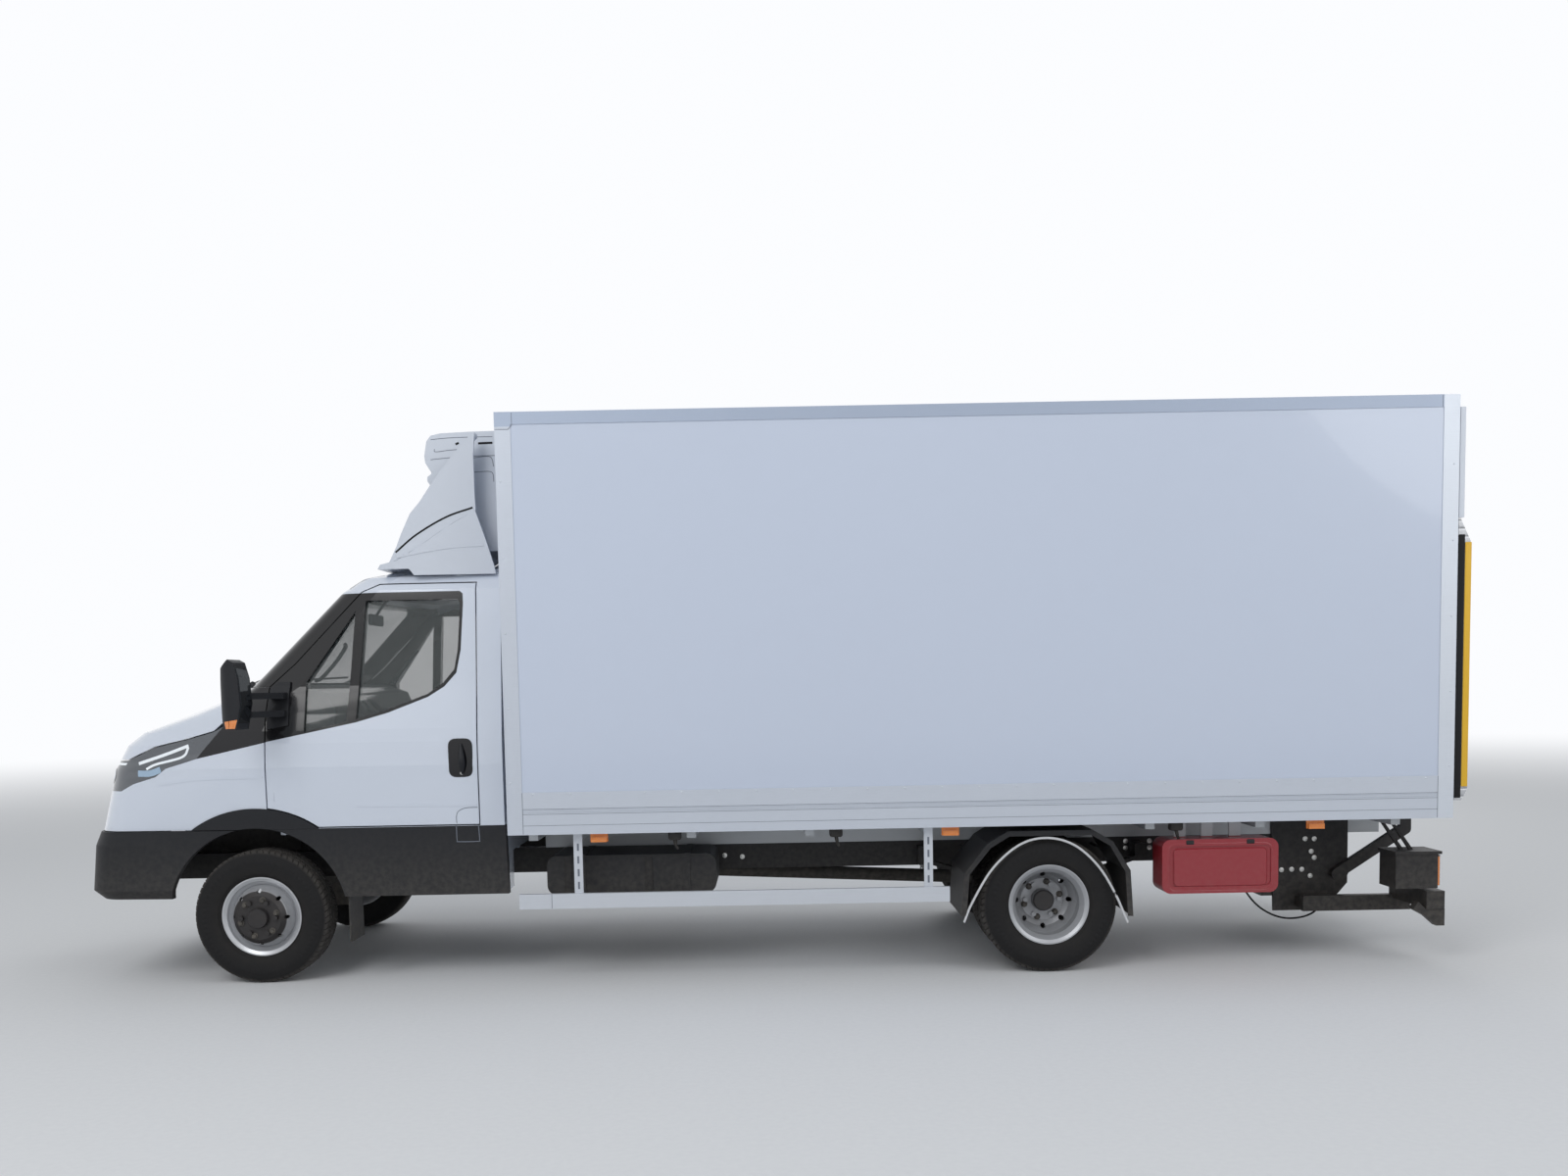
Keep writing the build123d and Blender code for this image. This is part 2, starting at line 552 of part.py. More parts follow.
# Bumper: a shell with a lower grille and fog-lamp recesses
BUMPER_WALL = 45.0
BUMPER_REAR = -60.0
BUMPER_OPEN_FRONT = -500.0
BUMPER_OPEN_HALF = 880.0
BUMPER_SLOTS = (590.0, 650.0, 710.0)
BUMPER_SLOT_HEIGHT = 38.0
BUMPER_SLOT_HALF = 440.0
BUMPER_FACE_REAR = -850.0
BUMPER_STAY_FRONT = -980.0
BUMPER_STAY_Z = (560.0, 640.0)
KEEP_ALL_Z = 1e6
bumper_outer = cab_volume(BUMPER_LEVELS, 0, BUMPER_REAR, KEEP_ALL_Z)
bumper_inner = cab_volume(BUMPER_LEVELS, BUMPER_WALL, BUMPER_REAR + 2 * BUMPER_WALL, KEEP_ALL_Z)
with BuildPart() as front_bumper:
    add(bumper_outer)
    add(bumper_inner, mode=Mode.SUBTRACT)
    block(BUMPER_OPEN_FRONT, 200, -BUMPER_OPEN_HALF, BUMPER_OPEN_HALF, 400, 900, mode=Mode.SUBTRACT)
    cross_rod(0, AXLE_HEIGHT, ARCH_RADIUS, -SIDE_REACH, SIDE_REACH, mode=Mode.SUBTRACT)
    for slot_z in BUMPER_SLOTS:
        slot_top = slot_z + BUMPER_SLOT_HEIGHT
        near, far = -BUMPER_SLOT_HALF, BUMPER_SLOT_HALF
        block(FAR_AHEAD, BUMPER_FACE_REAR, near, far, slot_z, slot_top, mode=Mode.SUBTRACT)
    for sign in (-1, 1):
        near, far = span(sign, *FOG_Y)
        block(FAR_AHEAD, BUMPER_FACE_REAR, near, far, *FOG_RECESS_Z, mode=Mode.SUBTRACT)
        near, far = span(sign, CAB_MOUNT_Y[0], RAIL_Y)
        block(BUMPER_STAY_FRONT, RAIL_FRONT - SKIN_GAP, near, far, *BUMPER_STAY_Z)


# Lower cladding: sill panels behind the arch and the arch band above the bumper
with BuildPart() as sill_cladding:
    side_prism(
        [(60, SILL_BOTTOM_Z), (1387, SILL_BOTTOM_Z), (1380, CAB_BASE_Z - 2), (60, CAB_BASE_Z - 2)],
        SILL_OUTER_Y - SILL_WALL,
        SILL_OUTER_Y,
    )
    cross_rod(0, AXLE_HEIGHT, ARCH_RADIUS, 800, SIDE_REACH, mode=Mode.SUBTRACT)
    mirror(about=Plane.XZ)

with BuildPart() as wheel_arch_bands:
    add(trim_outer)
    add(nose_inner, mode=Mode.SUBTRACT)
    with BuildPart(mode=Mode.INTERSECT):
        cross_rod(0, AXLE_HEIGHT, BAND_RADIUS, -SIDE_REACH, SIDE_REACH)
        cross_rod(0, AXLE_HEIGHT, ARCH_RADIUS, -SIDE_REACH, SIDE_REACH, mode=Mode.SUBTRACT)

with BuildPart() as cab_cladding:
    add(sill_cladding.part)
    add(wheel_arch_bands.part)

# Mirrors: a tall hood on two prongs from a plate on each door's front corner
MIRROR_INNER_Y = 1175.0
MIRROR_OUTER_Y = 1345.0
MIRROR_BULGE_Y = 1270.0
MIRROR_FRONT = -31.0
MIRROR_REAR = 92.0
MIRROR_OUTLINE = [
    (35, 1786),
    (-14, 1740),
    (MIRROR_FRONT, 1583),
    (-18, 1462),
    (4, 1420),
    (66, 1420),
    (MIRROR_REAR, 1555),
    (83, 1690),
    (62, 1770),
]
PRONG_HEIGHTS = (1478.0, 1576.0)
PRONG_DEPTH = 34.0
PLATE_OUTLINE = [(88, 1410), (88, 1636), (130, 1668), (205, 1668), (205, 1430)]
with BuildPart() as mirror_plates:
    add(trim_outer)
    add(cab_outer, mode=Mode.SUBTRACT)
    side_prism(PLATE_OUTLINE, -SIDE_REACH, SIDE_REACH, mode=Mode.INTERSECT)
mirrors = {}
for side, sign in SIDES:
    near, far = span(sign, MIRROR_INNER_Y, MIRROR_OUTER_Y)
    hood_inner = (at(62), sign * MIRROR_INNER_Y)
    hood_outer = (at(30), sign * MIRROR_OUTER_Y)
    hood_corner = (at(MIRROR_REAR), sign * MIRROR_OUTER_Y)
    hood_back = (at(MIRROR_REAR), sign * MIRROR_INNER_Y)
    with BuildPart() as mirror_piece:
        side_prism(MIRROR_OUTLINE, near, far)
        with BuildSketch(Plane.XY.offset(1400)) as hood_plan:
            with BuildLine():
                Polyline(hood_outer, hood_corner, hood_back, hood_inner)
                ThreePointArc(hood_inner, (at(MIRROR_FRONT), sign * MIRROR_BULGE_Y), hood_outer)
            make_face()
        extrude(hood_plan.sketch, amount=400, mode=Mode.INTERSECT)
        for prong_z in PRONG_HEIGHTS:
            with BuildSketch(Plane.XY.offset(prong_z)) as prong:
                with BuildLine():
                    Polyline(
                        (at(100), sign * 900),
                        (at(195), sign * 900),
                        (at(195), sign * 1000),
                        (at(88), sign * (MIRROR_INNER_Y + 10)),
                        (at(20), sign * (MIRROR_INNER_Y + 10)),
                        (at(100), sign * 1000),
                        close=True,
                    )
                make_face()
            extrude(prong.sketch, amount=PRONG_DEPTH)
        add(cab_outer, mode=Mode.SUBTRACT)
        add(mirror_plates.part.solids().sort_by(Axis.Y)[-1 if sign > 0 else 0])
    mirrors[side] = mirror_piece

# Cabin: dashboard, wheel and seats
DASH_FRONT = BULKHEAD_REAR + SKIN_GAP
DASH_OUTLINE = [
    (-100, 1600),
    (-60, 1648),
    (240, 1652),
    (380, 1600),
    (420, 1500),
    (380, 1300),
    (300, 1150),
    (DASH_FRONT, 1150),
    (DASH_FRONT, 1600),
]
WHEEL_Y = 420.0
WHEEL_CENTRE = (545.0, 1440.0)
WHEEL_RING = 190.0
WHEEL_TILT = radians(52)
COLUMN_DEPTH = 130.0
with BuildPart() as dashboard:
    add(cab_inner)
    side_prism(DASH_OUTLINE, -CABIN_HALF_WIDTH + 4, CABIN_HALF_WIDTH - 4, mode=Mode.INTERSECT)
wheel_middle = (at(WHEEL_CENTRE[0]), WHEEL_Y, WHEEL_CENTRE[1])
wheel_plane = Plane(wheel_middle, z_dir=(-sin(WHEEL_TILT), 0, cos(WHEEL_TILT)))
with BuildPart() as steering_wheel:
    with Locations(wheel_plane):
        Torus(WHEEL_RING, 14)
        Cylinder(48, 30)
        Box(26, 2 * WHEEL_RING, 14)
        Box(2 * WHEEL_RING, 30, 14)
    with Locations(wheel_plane.offset(-COLUMN_DEPTH)):
        Cylinder(28, 250)
    add(dashboard.part, mode=Mode.SUBTRACT)

SEAT_BASE = [(640, 1190), (1130, 1150), (1150, 1060), (640, 1060)]
SEAT_BACK = [(1062, 1110), (1150, 1090), (1285, 1700), (1215, 1715)]
HEADREST = [(1225, 1745), (1290, 1735), (1312, 1905), (1245, 1915)]
SEAT_BOX = [(680, 1060), (1140, 1060), (1140, CABIN_FLOOR_Z), (680, CABIN_FLOOR_Z)]
SEAT_ROWS = ((175, 665), (-310, 110), (-745, -325))
with BuildPart() as seats:
    for low, high in SEAT_ROWS:
        rounded_prism(SEAT_BASE, 30, low, high)
        rounded_prism(SEAT_BACK, 30, low, high)
        rounded_prism(HEADREST, 20, (low + high) / 2 - 130, (low + high) / 2 + 130)
        for stalk in (-50, 50):
            with Locations(Plane((at(1262), (low + high) / 2 + stalk, 1725), z_dir=(-0.2, 0, 1))):
                Cylinder(8, 90)
        side_prism(SEAT_BOX, low + 30, high - 30)

# Roof fairing and deflector with side fins round the fridge unit
FAIRING_HALF = 884.0
DEFLECTOR_HALF = 872.0
SHEET = 16.0
DEFLECTOR_FRONT = [
    (762, 2312),
    (806, 2399),
    (833, 2466),
    (885, 2574),
    (943, 2641),
    (1008, 2735),
    (1123, 2881),
    (1248, 3014),
]
DEFLECTOR_REAR = [(1254, 3008), (1244, 2888), (1244, 2700)]
DEFLECTOR_WINDOW_HALF = 790.0
DEFLECTOR_WINDOW_Z = 2660.0
FAIRING_LOW_Z = CAB_LEVELS[-1].z + SKIN_GAP
FAIRING_TABS = ((900, 2375), (1060, 2478), (1200, 2556))
FAIRING_WELL = [(800, 2200), (800, 2700), (1500, 2700), (1500, 2200)]
SEAM = [(1247, 2588), (1106, 2513), (941, 2405), (810, 2326)]
with BuildPart() as roof_fairing:
    side_prism(
        [(700, FAIRING_LOW_Z), (716, 2300)]
        + [(u, z - 4) for u, z in reversed(SEAM)]
        + [(1299, 2427), (1344, FAIRING_LOW_Z)],
        -FAIRING_HALF,
        FAIRING_HALF,
    )
    side_prism([(900, 2240), (860, 2290), (1340, 2290), (1350, 2240)], -FAIRING_HALF, FAIRING_HALF)
    side_prism(FAIRING_WELL, -FAIRING_HALF + SHEET, FAIRING_HALF - SHEET, mode=Mode.SUBTRACT)
with BuildPart() as fin_panels:
    side_prism(DEFLECTOR_FRONT + DEFLECTOR_REAR + SEAM, -DEFLECTOR_HALF, DEFLECTOR_HALF)
    side_prism(
        [(u + 26, z) for u, z in DEFLECTOR_FRONT] + [(1400, 3100), (1400, 2200)],
        -DEFLECTOR_HALF + SHEET,
        DEFLECTOR_HALF - SHEET,
        mode=Mode.SUBTRACT,
    )
    near, far = -DEFLECTOR_WINDOW_HALF, DEFLECTOR_WINDOW_HALF
    block(850, 1400, near, far, DEFLECTOR_WINDOW_Z, 3100, mode=Mode.SUBTRACT)
with BuildPart() as roof_deflector:
    add(roof_fairing.part)
    add(fin_panels.part)
    for sign in (-1, 1):
        near, far = span(sign, DEFLECTOR_HALF - SHEET + 2, DEFLECTOR_HALF)
        for tab, height in FAIRING_TABS:
            block(tab, tab + 40, near, far, height - 10, height + 30)

# Fridge unit: a moulded casing on the box's front wall, with the evaporator inside the box
FRIDGE_HALF = 720.0
FRIDGE_OUTLINE = [
    (BOX_FRONT - SKIN_GAP, 3044),
    (1187, 3040),
    (1030, 3034),
    (977, 3022),
    (953, 2991),
    (939, 2910),
    (943, 2872),
    (974, 2822),
    (974, 2812),
    (952, 2795),
    (951, 2773),
    (980, 2726),
    (1150, 2690),
    (1190, 2640),
    (1190, 2410),
    (1225, 2380),
    (BOX_FRONT - SKIN_GAP, 2380),
]
LOUVRES = 6
LOUVRE_PITCH = 18.0
LOUVRE_GAP = 9.0
LOUVRE_FROM_Z = 2882.0
LOUVRE_DEPTH = (930.0, 960.0)
LOUVRE_HALF = 560.0
EVAPORATOR_REAR = 1800.0
EVAPORATOR_HALF = 620.0
EVAPORATOR_LOW_Z = 2762.0
with BuildPart() as fridge_unit:
    side_prism(FRIDGE_OUTLINE, -FRIDGE_HALF, FRIDGE_HALF)
    for row in range(LOUVRES):
        low = LOUVRE_FROM_Z + row * LOUVRE_PITCH
        block(*LOUVRE_DEPTH, -LOUVRE_HALF, LOUVRE_HALF, low, low + LOUVRE_GAP, mode=Mode.SUBTRACT)
    near, far = -EVAPORATOR_HALF, EVAPORATOR_HALF
    block(POST_REAR + SKIN_GAP, EVAPORATOR_REAR, near, far, EVAPORATOR_LOW_Z, CEILING_Z - SKIN_GAP)

# Insulated box
with BuildPart() as box_floor:
    floor_half = SIDE_INNER - SKIN_GAP
    block(POST_REAR + SKIN_GAP, FRAME_FRONT - SKIN_GAP, -floor_half, floor_half, FLOOR_LOW_Z, FLOOR_Z)
with BuildPart() as box_side_walls:
    block(POST_REAR, FRAME_FRONT, SIDE_INNER, PANEL_Y, SKIRT_TOP_Z, RAIL_LOW_Z)
    mirror(about=Plane.XZ)
with BuildPart() as box_roof:
    block(POST_REAR, FRAME_FRONT, -SIDE_INNER, SIDE_INNER, CEILING_Z, BOX_TOP_Z - PANEL_RECESS)
with BuildPart() as box_front_wall:
    panel_front = BOX_FRONT + PANEL_RECESS
    panel_low_z = BOX_BOTTOM_Z + POST_LENGTH
    block(panel_front, POST_REAR, -POST_INNER, POST_INNER, panel_low_z, BOX_TOP_Z - POST_LENGTH)
with BuildPart() as box_edge_profiles:
    block(POST_REAR, FRAME_FRONT, SIDE_INNER, BOX_HALF_WIDTH, RAIL_LOW_Z, BOX_TOP_Z)
    block(POST_REAR, FRAME_FRONT, SIDE_INNER, BOX_HALF_WIDTH, BOX_BOTTOM_Z, SKIRT_TOP_Z)
    groove_floor = BOX_HALF_WIDTH - GROOVE
    for groove_z in SKIRT_GROOVES:
        groove_top = groove_z + GROOVE
        block(POST_REAR, FRAME_FRONT, groove_floor, BOX_HALF_WIDTH, groove_z, groove_top, mode=Mode.SUBTRACT)
    block(BOX_FRONT, POST_REAR, POST_INNER, BOX_HALF_WIDTH, BOX_BOTTOM_Z, BOX_TOP_Z - POST_LENGTH - 1)
    block(BOX_FRONT, POST_REAR, POST_INNER, BOX_HALF_WIDTH, BOX_TOP_Z - POST_LENGTH, BOX_TOP_Z)
    mirror(about=Plane.XZ)
    block(BOX_FRONT, POST_REAR, -POST_INNER, POST_INNER, BOX_TOP_Z - POST_LENGTH, BOX_TOP_Z)
    block(BOX_FRONT, POST_REAR, -POST_INNER, POST_INNER, BOX_BOTTOM_Z, BOX_BOTTOM_Z + POST_LENGTH)
with BuildPart() as rear_frame:
    block(FRAME_FRONT, BOX_REAR, -BOX_HALF_WIDTH, BOX_HALF_WIDTH, BOX_BOTTOM_Z, BOX_TOP_Z)
    block(FRAME_FRONT, BOX_REAR, -POST_INNER, POST_INNER, FLOOR_Z, CEILING_Z, mode=Mode.SUBTRACT)
    for hinge_y in FLAP_HINGE_PLACES:
        near, far = hinge_y - FLAP_EYE_HALF, hinge_y + FLAP_EYE_HALF
        eye_low, eye_high = FLAP_HINGE[1] - FLAP_EYE_RADIUS, FLAP_HINGE[1] + FLAP_EYE_RADIUS
        block(BOX_REAR, FLAP_HINGE[0], near, far, eye_low, eye_high)
        cross_rod(*FLAP_HINGE, FLAP_EYE_RADIUS, near, far)
        cross_rod(*FLAP_HINGE, FLAP_PIN_RADIUS + SHAFT_CLEARANCE, near, far, mode=Mode.SUBTRACT)

# Rear closure: a top flap and the stowed platform
with BuildPart() as top_flap:
    flap_front = BOX_REAR + MOVING_GAP
    flap_rear = flap_front + FLAP_THICKNESS
    flap_low_z = PLATFORM_TOP_Z + MOVING_GAP
    block(flap_front, flap_rear, -PLATFORM_HALF_WIDTH, PLATFORM_HALF_WIDTH, flap_low_z, FLAP_TOP_Z)
    for hinge_y in FLAP_HINGE_PLACES:
        cross_rod(*FLAP_HINGE, FLAP_PIN_RADIUS, hinge_y - FLAP_PIN_HALF, hinge_y + FLAP_PIN_HALF)
        for sign in (-1, 1):
            low, high = sorted((sign * (FLAP_EYE_HALF + FLAP_EYE_GAP), sign * FLAP_PIN_HALF))
            cross_rod(*FLAP_HINGE, FLAP_EYE_RADIUS, hinge_y + low, hinge_y + high)
            strap_front = FLAP_HINGE[0] - FLAP_EYE_RADIUS
            block(strap_front, FLAP_HINGE[0], hinge_y + low, hinge_y + high, FLAP_TOP_Z - 5, FLAP_HINGE[1])
with BuildPart() as lift_platform:
    side_prism(
        [
            (PLATFORM_FRONT, PLATFORM_BOTTOM_Z),
            (PLATFORM_FRONT, PLATFORM_TOP_Z),
            (PLATFORM_FRONT + 12, PLATFORM_TOP_Z),
            (PLATFORM_REAR, PLATFORM_TOP_Z - 130),
            (PLATFORM_REAR, PLATFORM_BOTTOM_Z + 60),
            (PLATFORM_FRONT + 40, PLATFORM_BOTTOM_Z),
        ],
        -PLATFORM_HALF_WIDTH,
        PLATFORM_HALF_WIDTH,
    )
    for sign in (-1, 1):
        near, far = span(sign, *PLATFORM_LUG_Y)
        side_prism(
            [
                (PLATFORM_FRONT + 6, PLATFORM_BOTTOM_Z + 1),
                (PLATFORM_FRONT + 58, PLATFORM_BOTTOM_Z + 20),
                (LIFT_HINGE[0] + 24, LIFT_HINGE[1] - 26),
                (LIFT_HINGE[0] - 24, LIFT_HINGE[1] - 26),
            ],
            near,
            far,
        )
        cross_rod(*LIFT_HINGE, LIFT_PIN_RADIUS + SHAFT_CLEARANCE, near, far, mode=Mode.SUBTRACT)

# Frame: two channel rails, crossmembers between them and the box's subframe on top
with BuildPart() as frame_rails:
    block(RAIL_FRONT, RAIL_REAR, RAIL_Y - RAIL_FLANGE, RAIL_Y, RAIL_BOTTOM_Z, RAIL_TOP_Z)
    web_low_z = RAIL_BOTTOM_Z + RAIL_SHEET
    web_high_z = RAIL_TOP_Z - RAIL_SHEET
    flange_inner = RAIL_Y - RAIL_FLANGE
    block(RAIL_FRONT, RAIL_REAR, flange_inner, RAIL_Y - RAIL_SHEET, web_low_z, web_high_z, mode=Mode.SUBTRACT)
    mirror(about=Plane.XZ)
CROSSMEMBERS = (-840.0, 900.0, 1800.0, 2700.0, 3600.0, 5100.0, 5700.0)
CROSSMEMBER_HALF = 30.0
CROSSMEMBER_LOW_Z = 590.0
with BuildPart() as frame_crossmembers:
    half_width = RAIL_Y - RAIL_SHEET
    for place in CROSSMEMBERS:
        front, rear = place - CROSSMEMBER_HALF, place + CROSSMEMBER_HALF
        block(front, rear, -half_width, half_width, CROSSMEMBER_LOW_Z, RAIL_TOP_Z - RAIL_SHEET)
BEARER_PLACES = (1540, 1782, 2400, 3045, 3690, 4900, 5500, 6238)
BEARER_WIDTH = 50.0
BEARER_LOW_Z = 778.0
with BuildPart() as subframe:
    block(POST_REAR, FRAME_FRONT, RAIL_Y - SUBFRAME_WIDTH, RAIL_Y, RAIL_TOP_Z, FLOOR_LOW_Z)
    mirror(about=Plane.XZ)
with BuildPart() as floor_bearers:
    for place in BEARER_PLACES:
        front = place - BEARER_WIDTH / 2
        rear = place + BEARER_WIDTH / 2
        block(front, rear, RAIL_Y, SIDE_INNER, BEARER_LOW_Z, FLOOR_LOW_Z)
    mirror(about=Plane.XZ)
    for place in BEARER_PLACES:
        front = place - BEARER_WIDTH / 2
        rear = place + BEARER_WIDTH / 2
        block(front, rear, -RAIL_Y + SUBFRAME_WIDTH, RAIL_Y - SUBFRAME_WIDTH, BEARER_LOW_Z - 40, FLOOR_LOW_Z)

# Front suspension: a beam under the rails, double wishbones and struts
Wishbone = namedtuple("Wishbone", "ball_z inner spread")
WISHBONES = (Wishbone(BALL_LOW_Z, 290.0, 120.0), Wishbone(BALL_HIGH_Z, RAIL_Y - 10, 60.0))
WISHBONE_HALF = 15.0
WISHBONE_END_HALF = 34.0
BEAM_HALF = 60.0
BEAM_Z = (400.0, 495.0)
with BuildPart() as front_suspension:
    block(-BEAM_HALF, BEAM_HALF, -RAIL_Y, RAIL_Y, *BEAM_Z)
    block(-BEAM_HALF, BEAM_HALF, RAIL_Y - 60, RAIL_Y, BEAM_Z[0], RAIL_BOTTOM_Z)
    block(-130, 130, 285, 330, BALL_LOW_Z - WISHBONE_HALF, BEAM_Z[0])
    for wishbone in WISHBONES:
        with BuildSketch(Plane.XY.offset(wishbone.ball_z - WISHBONE_HALF)) as arm:
            with BuildLine():
                Polyline(
                    (at(-wishbone.spread), wishbone.inner),
                    (at(-WISHBONE_END_HALF), KINGPIN_Y + 30),
                    (at(WISHBONE_END_HALF), KINGPIN_Y + 30),
                    (at(wishbone.spread), wishbone.inner),
                    close=True,
                )
            make_face()
        extrude(arm.sketch, amount=2 * WISHBONE_HALF)
    with Locations((at(0), KINGPIN_Y, 375)):
        Cylinder(KINGPIN_RADIUS + SHAFT_CLEARANCE, 400, mode=Mode.SUBTRACT)
    with Locations((at(0), 560, (BALL_LOW_Z + BALL_HIGH_Z) / 2)):
        Cylinder(38, BALL_HIGH_Z - BALL_LOW_Z - 20)
    mirror(about=Plane.XZ)

KNUCKLE_Y = (690.0, 745.0)
KNUCKLE_HALF = 38.0
STUB_Y = (700.0, 982.0)
STEERING_ARM_Y = (695.0, 725.0)
STEERING_ARM_Z = (290.0, 315.0)
knuckles = {}
for side, sign in SIDES:
    near, far = span(sign, *KNUCKLE_Y)
    stub_near, stub_far = span(sign, *STUB_Y)
    arm_near, arm_far = span(sign, *STEERING_ARM_Y)
    with BuildPart() as knuckle:
        block(-KNUCKLE_HALF, KNUCKLE_HALF, near, far, BALL_LOW_Z + 21, BALL_HIGH_Z - 21)
        with Locations((at(0), sign * KINGPIN_Y, (BALL_LOW_Z + BALL_HIGH_Z) / 2)):
            Cylinder(KINGPIN_RADIUS, BALL_HIGH_Z - BALL_LOW_Z + 50)
        cross_rod(0, AXLE_HEIGHT, HUB_BORE, stub_near, stub_far)
        block(30, 170, arm_near, arm_far, *STEERING_ARM_Z)
    knuckles[side] = knuckle

# Wheels: sections as radius and distance outward from the wheel's centre plane
MOUNT_FACE = (REAR_OUTER_Y - REAR_INNER_Y) / 2
DISC_SHEET = 12.0
TYRE_SECTION = [(205, 73), (221, 78.5), (232, 90), (262, 106), (305, 111.5), (345, 103), (366, 86), (372, 62)]
DISC_OUTER = [(122, MOUNT_FACE), (150, 104), (174, 42)]
DISC_INNER = [(176, 30), (146, 90), (118, MOUNT_FACE - DISC_SHEET)]
BARREL = [
    (190, 60),
    (197, 76),
    (214, 86),
    (RIM_FLANGE_RADIUS, 86),
    (RIM_FLANGE_RADIUS, 80),
    (RIM_RADIUS + 1, 74),
    (RIM_RADIUS, 56),
    (184, 44),
    (184, -38),
    (RIM_RADIUS, -60),
    (RIM_RADIUS + 1, -74),
    (RIM_FLANGE_RADIUS, -80),
    (RIM_FLANGE_RADIUS, -86),
    (214, -86),
    (197, -76),
    (176, -44),
]
CAP_FACE = 154.0
NUT_CIRCLE = 95.0
NUTS = 6
NUT_RADIUS = 13.0
NUT_HEIGHT = 20.0
HAND_HOLES = 8
HAND_HOLE_CIRCLE = 146.0
bore = HUB_BORE + SHAFT_CLEARANCE
FRONT_HUB = [
    (bore, -40),
    (bore, 125),
    (0, 125),
    (0, CAP_FACE),
    (52, CAP_FACE),
    (56, 146),
    (56, MOUNT_FACE),
]
REAR_HUB = [
    (bore, -210),
    (bore, 40),
    (0, 40),
    (0, 72),
    (52, 72),
    (60, 60),
    (62, -40),
    (62, -130),
    (150, -130),
    (150, -210),
]


def turned(section, axle, centre_y, sign):
    """Revolve a wheel section about an axle; sign gives the side that faces outward."""
    hub_plane = Plane((at(axle), centre_y, AXLE_HEIGHT), x_dir=(1, 0, 0), z_dir=(0, 0, 1))
    with BuildSketch(hub_plane) as profile:
        with BuildLine():
            Polyline(*[(radius, sign * out) for radius, out in section], close=True)
        make_face()
    revolve(profile.sketch, axis=Axis((at(axle), centre_y, AXLE_HEIGHT), (0, 1, 0)))


def around(axle, y, circle, count, radius, length, mode=Mode.ADD):
    """A ring of round bosses or holes about an axle."""
    with Locations(Plane((at(axle), y, AXLE_HEIGHT), x_dir=(1, 0, 0), z_dir=(0, 1, 0))):
        with PolarLocations(circle, count):
            Cylinder(radius, length, mode=mode)


FULL_TYRE = TYRE_SECTION + [(radius, -out) for radius, out in reversed(TYRE_SECTION)]
front_tyres = {}
front_rims = {}
rear_tyres = {}
rear_rims = {}
for side, sign in SIDES:
    with BuildPart() as front_tyre:
        turned(FULL_TYRE, 0, sign * FRONT_WHEEL_Y, sign)
    front_tyres[side] = front_tyre
    with BuildPart() as front_rim:
        inside = [(62, MOUNT_FACE - DISC_SHEET), (62, -40)]
        turned(FRONT_HUB + DISC_OUTER + BARREL + DISC_INNER + inside, 0, sign * FRONT_WHEEL_Y, sign)
        around(0, sign * (FRONT_WHEEL_Y + MOUNT_FACE + 8), NUT_CIRCLE, NUTS, NUT_RADIUS, NUT_HEIGHT)
        around(0, sign * (FRONT_WHEEL_Y + 90), HAND_HOLE_CIRCLE, HAND_HOLES, 11, 90, mode=Mode.SUBTRACT)
    front_rims[side] = front_rim
    with BuildPart() as rear_tyre_pair:
        for centre in (REAR_OUTER_Y, REAR_INNER_Y):
            turned(FULL_TYRE, WHEELBASE, sign * centre, sign)
    rear_tyres[side] = rear_tyre_pair
    with BuildPart() as rear_rim_pair:
        flat = [(60, MOUNT_FACE)] + DISC_OUTER + BARREL + DISC_INNER + [(60, MOUNT_FACE - DISC_SHEET)]
        turned(flat, WHEELBASE, sign * REAR_INNER_Y, sign)
        turned(flat, WHEELBASE, sign * REAR_OUTER_Y, -sign)
        mid = (REAR_OUTER_Y + REAR_INNER_Y) / 2
        turned(REAR_HUB, WHEELBASE, sign * mid, sign)
        around(WHEELBASE, sign * (mid + DISC_SHEET + 8), NUT_CIRCLE, NUTS, NUT_RADIUS, NUT_HEIGHT)
        around(WHEELBASE, sign * mid, HAND_HOLE_CIRCLE, HAND_HOLES, 14, 160, mode=Mode.SUBTRACT)
    rear_rims[side] = rear_rim_pair

# Rear axle and springs
DIFFERENTIAL_RADIUS = 165.0
SPINDLE_END = (REAR_OUTER_Y + REAR_INNER_Y) / 2 + 35
AXLE_TUBE_RADIUS = 60.0
AXLE_TUBE_END = 600.0
AXLE_HALF = [
    (0, 0),
    (DIFFERENTIAL_RADIUS, 0),
    (DIFFERENTIAL_RADIUS, 60),
    (110, 150),
    (AXLE_TUBE_RADIUS, 260),
    (AXLE_TUBE_RADIUS, AXLE_TUBE_END),
    (HUB_BORE, AXLE_TUBE_END),
    (HUB_BORE, SPINDLE_END),
    (0, SPINDLE_END),
]
with BuildPart() as rear_axle:
    for sign in (1, -1):
        turned(AXLE_HALF, WHEELBASE, 0, sign)
SPRING_Y = (495.0, 560.0)
SPRING_FRONT = 3720.0
SPRING_REAR = 4980.0
SPRING_END_Z = 580.0
SPRING_MIDDLE_Z = 460.0
SPRING_THICKNESS = 24.0
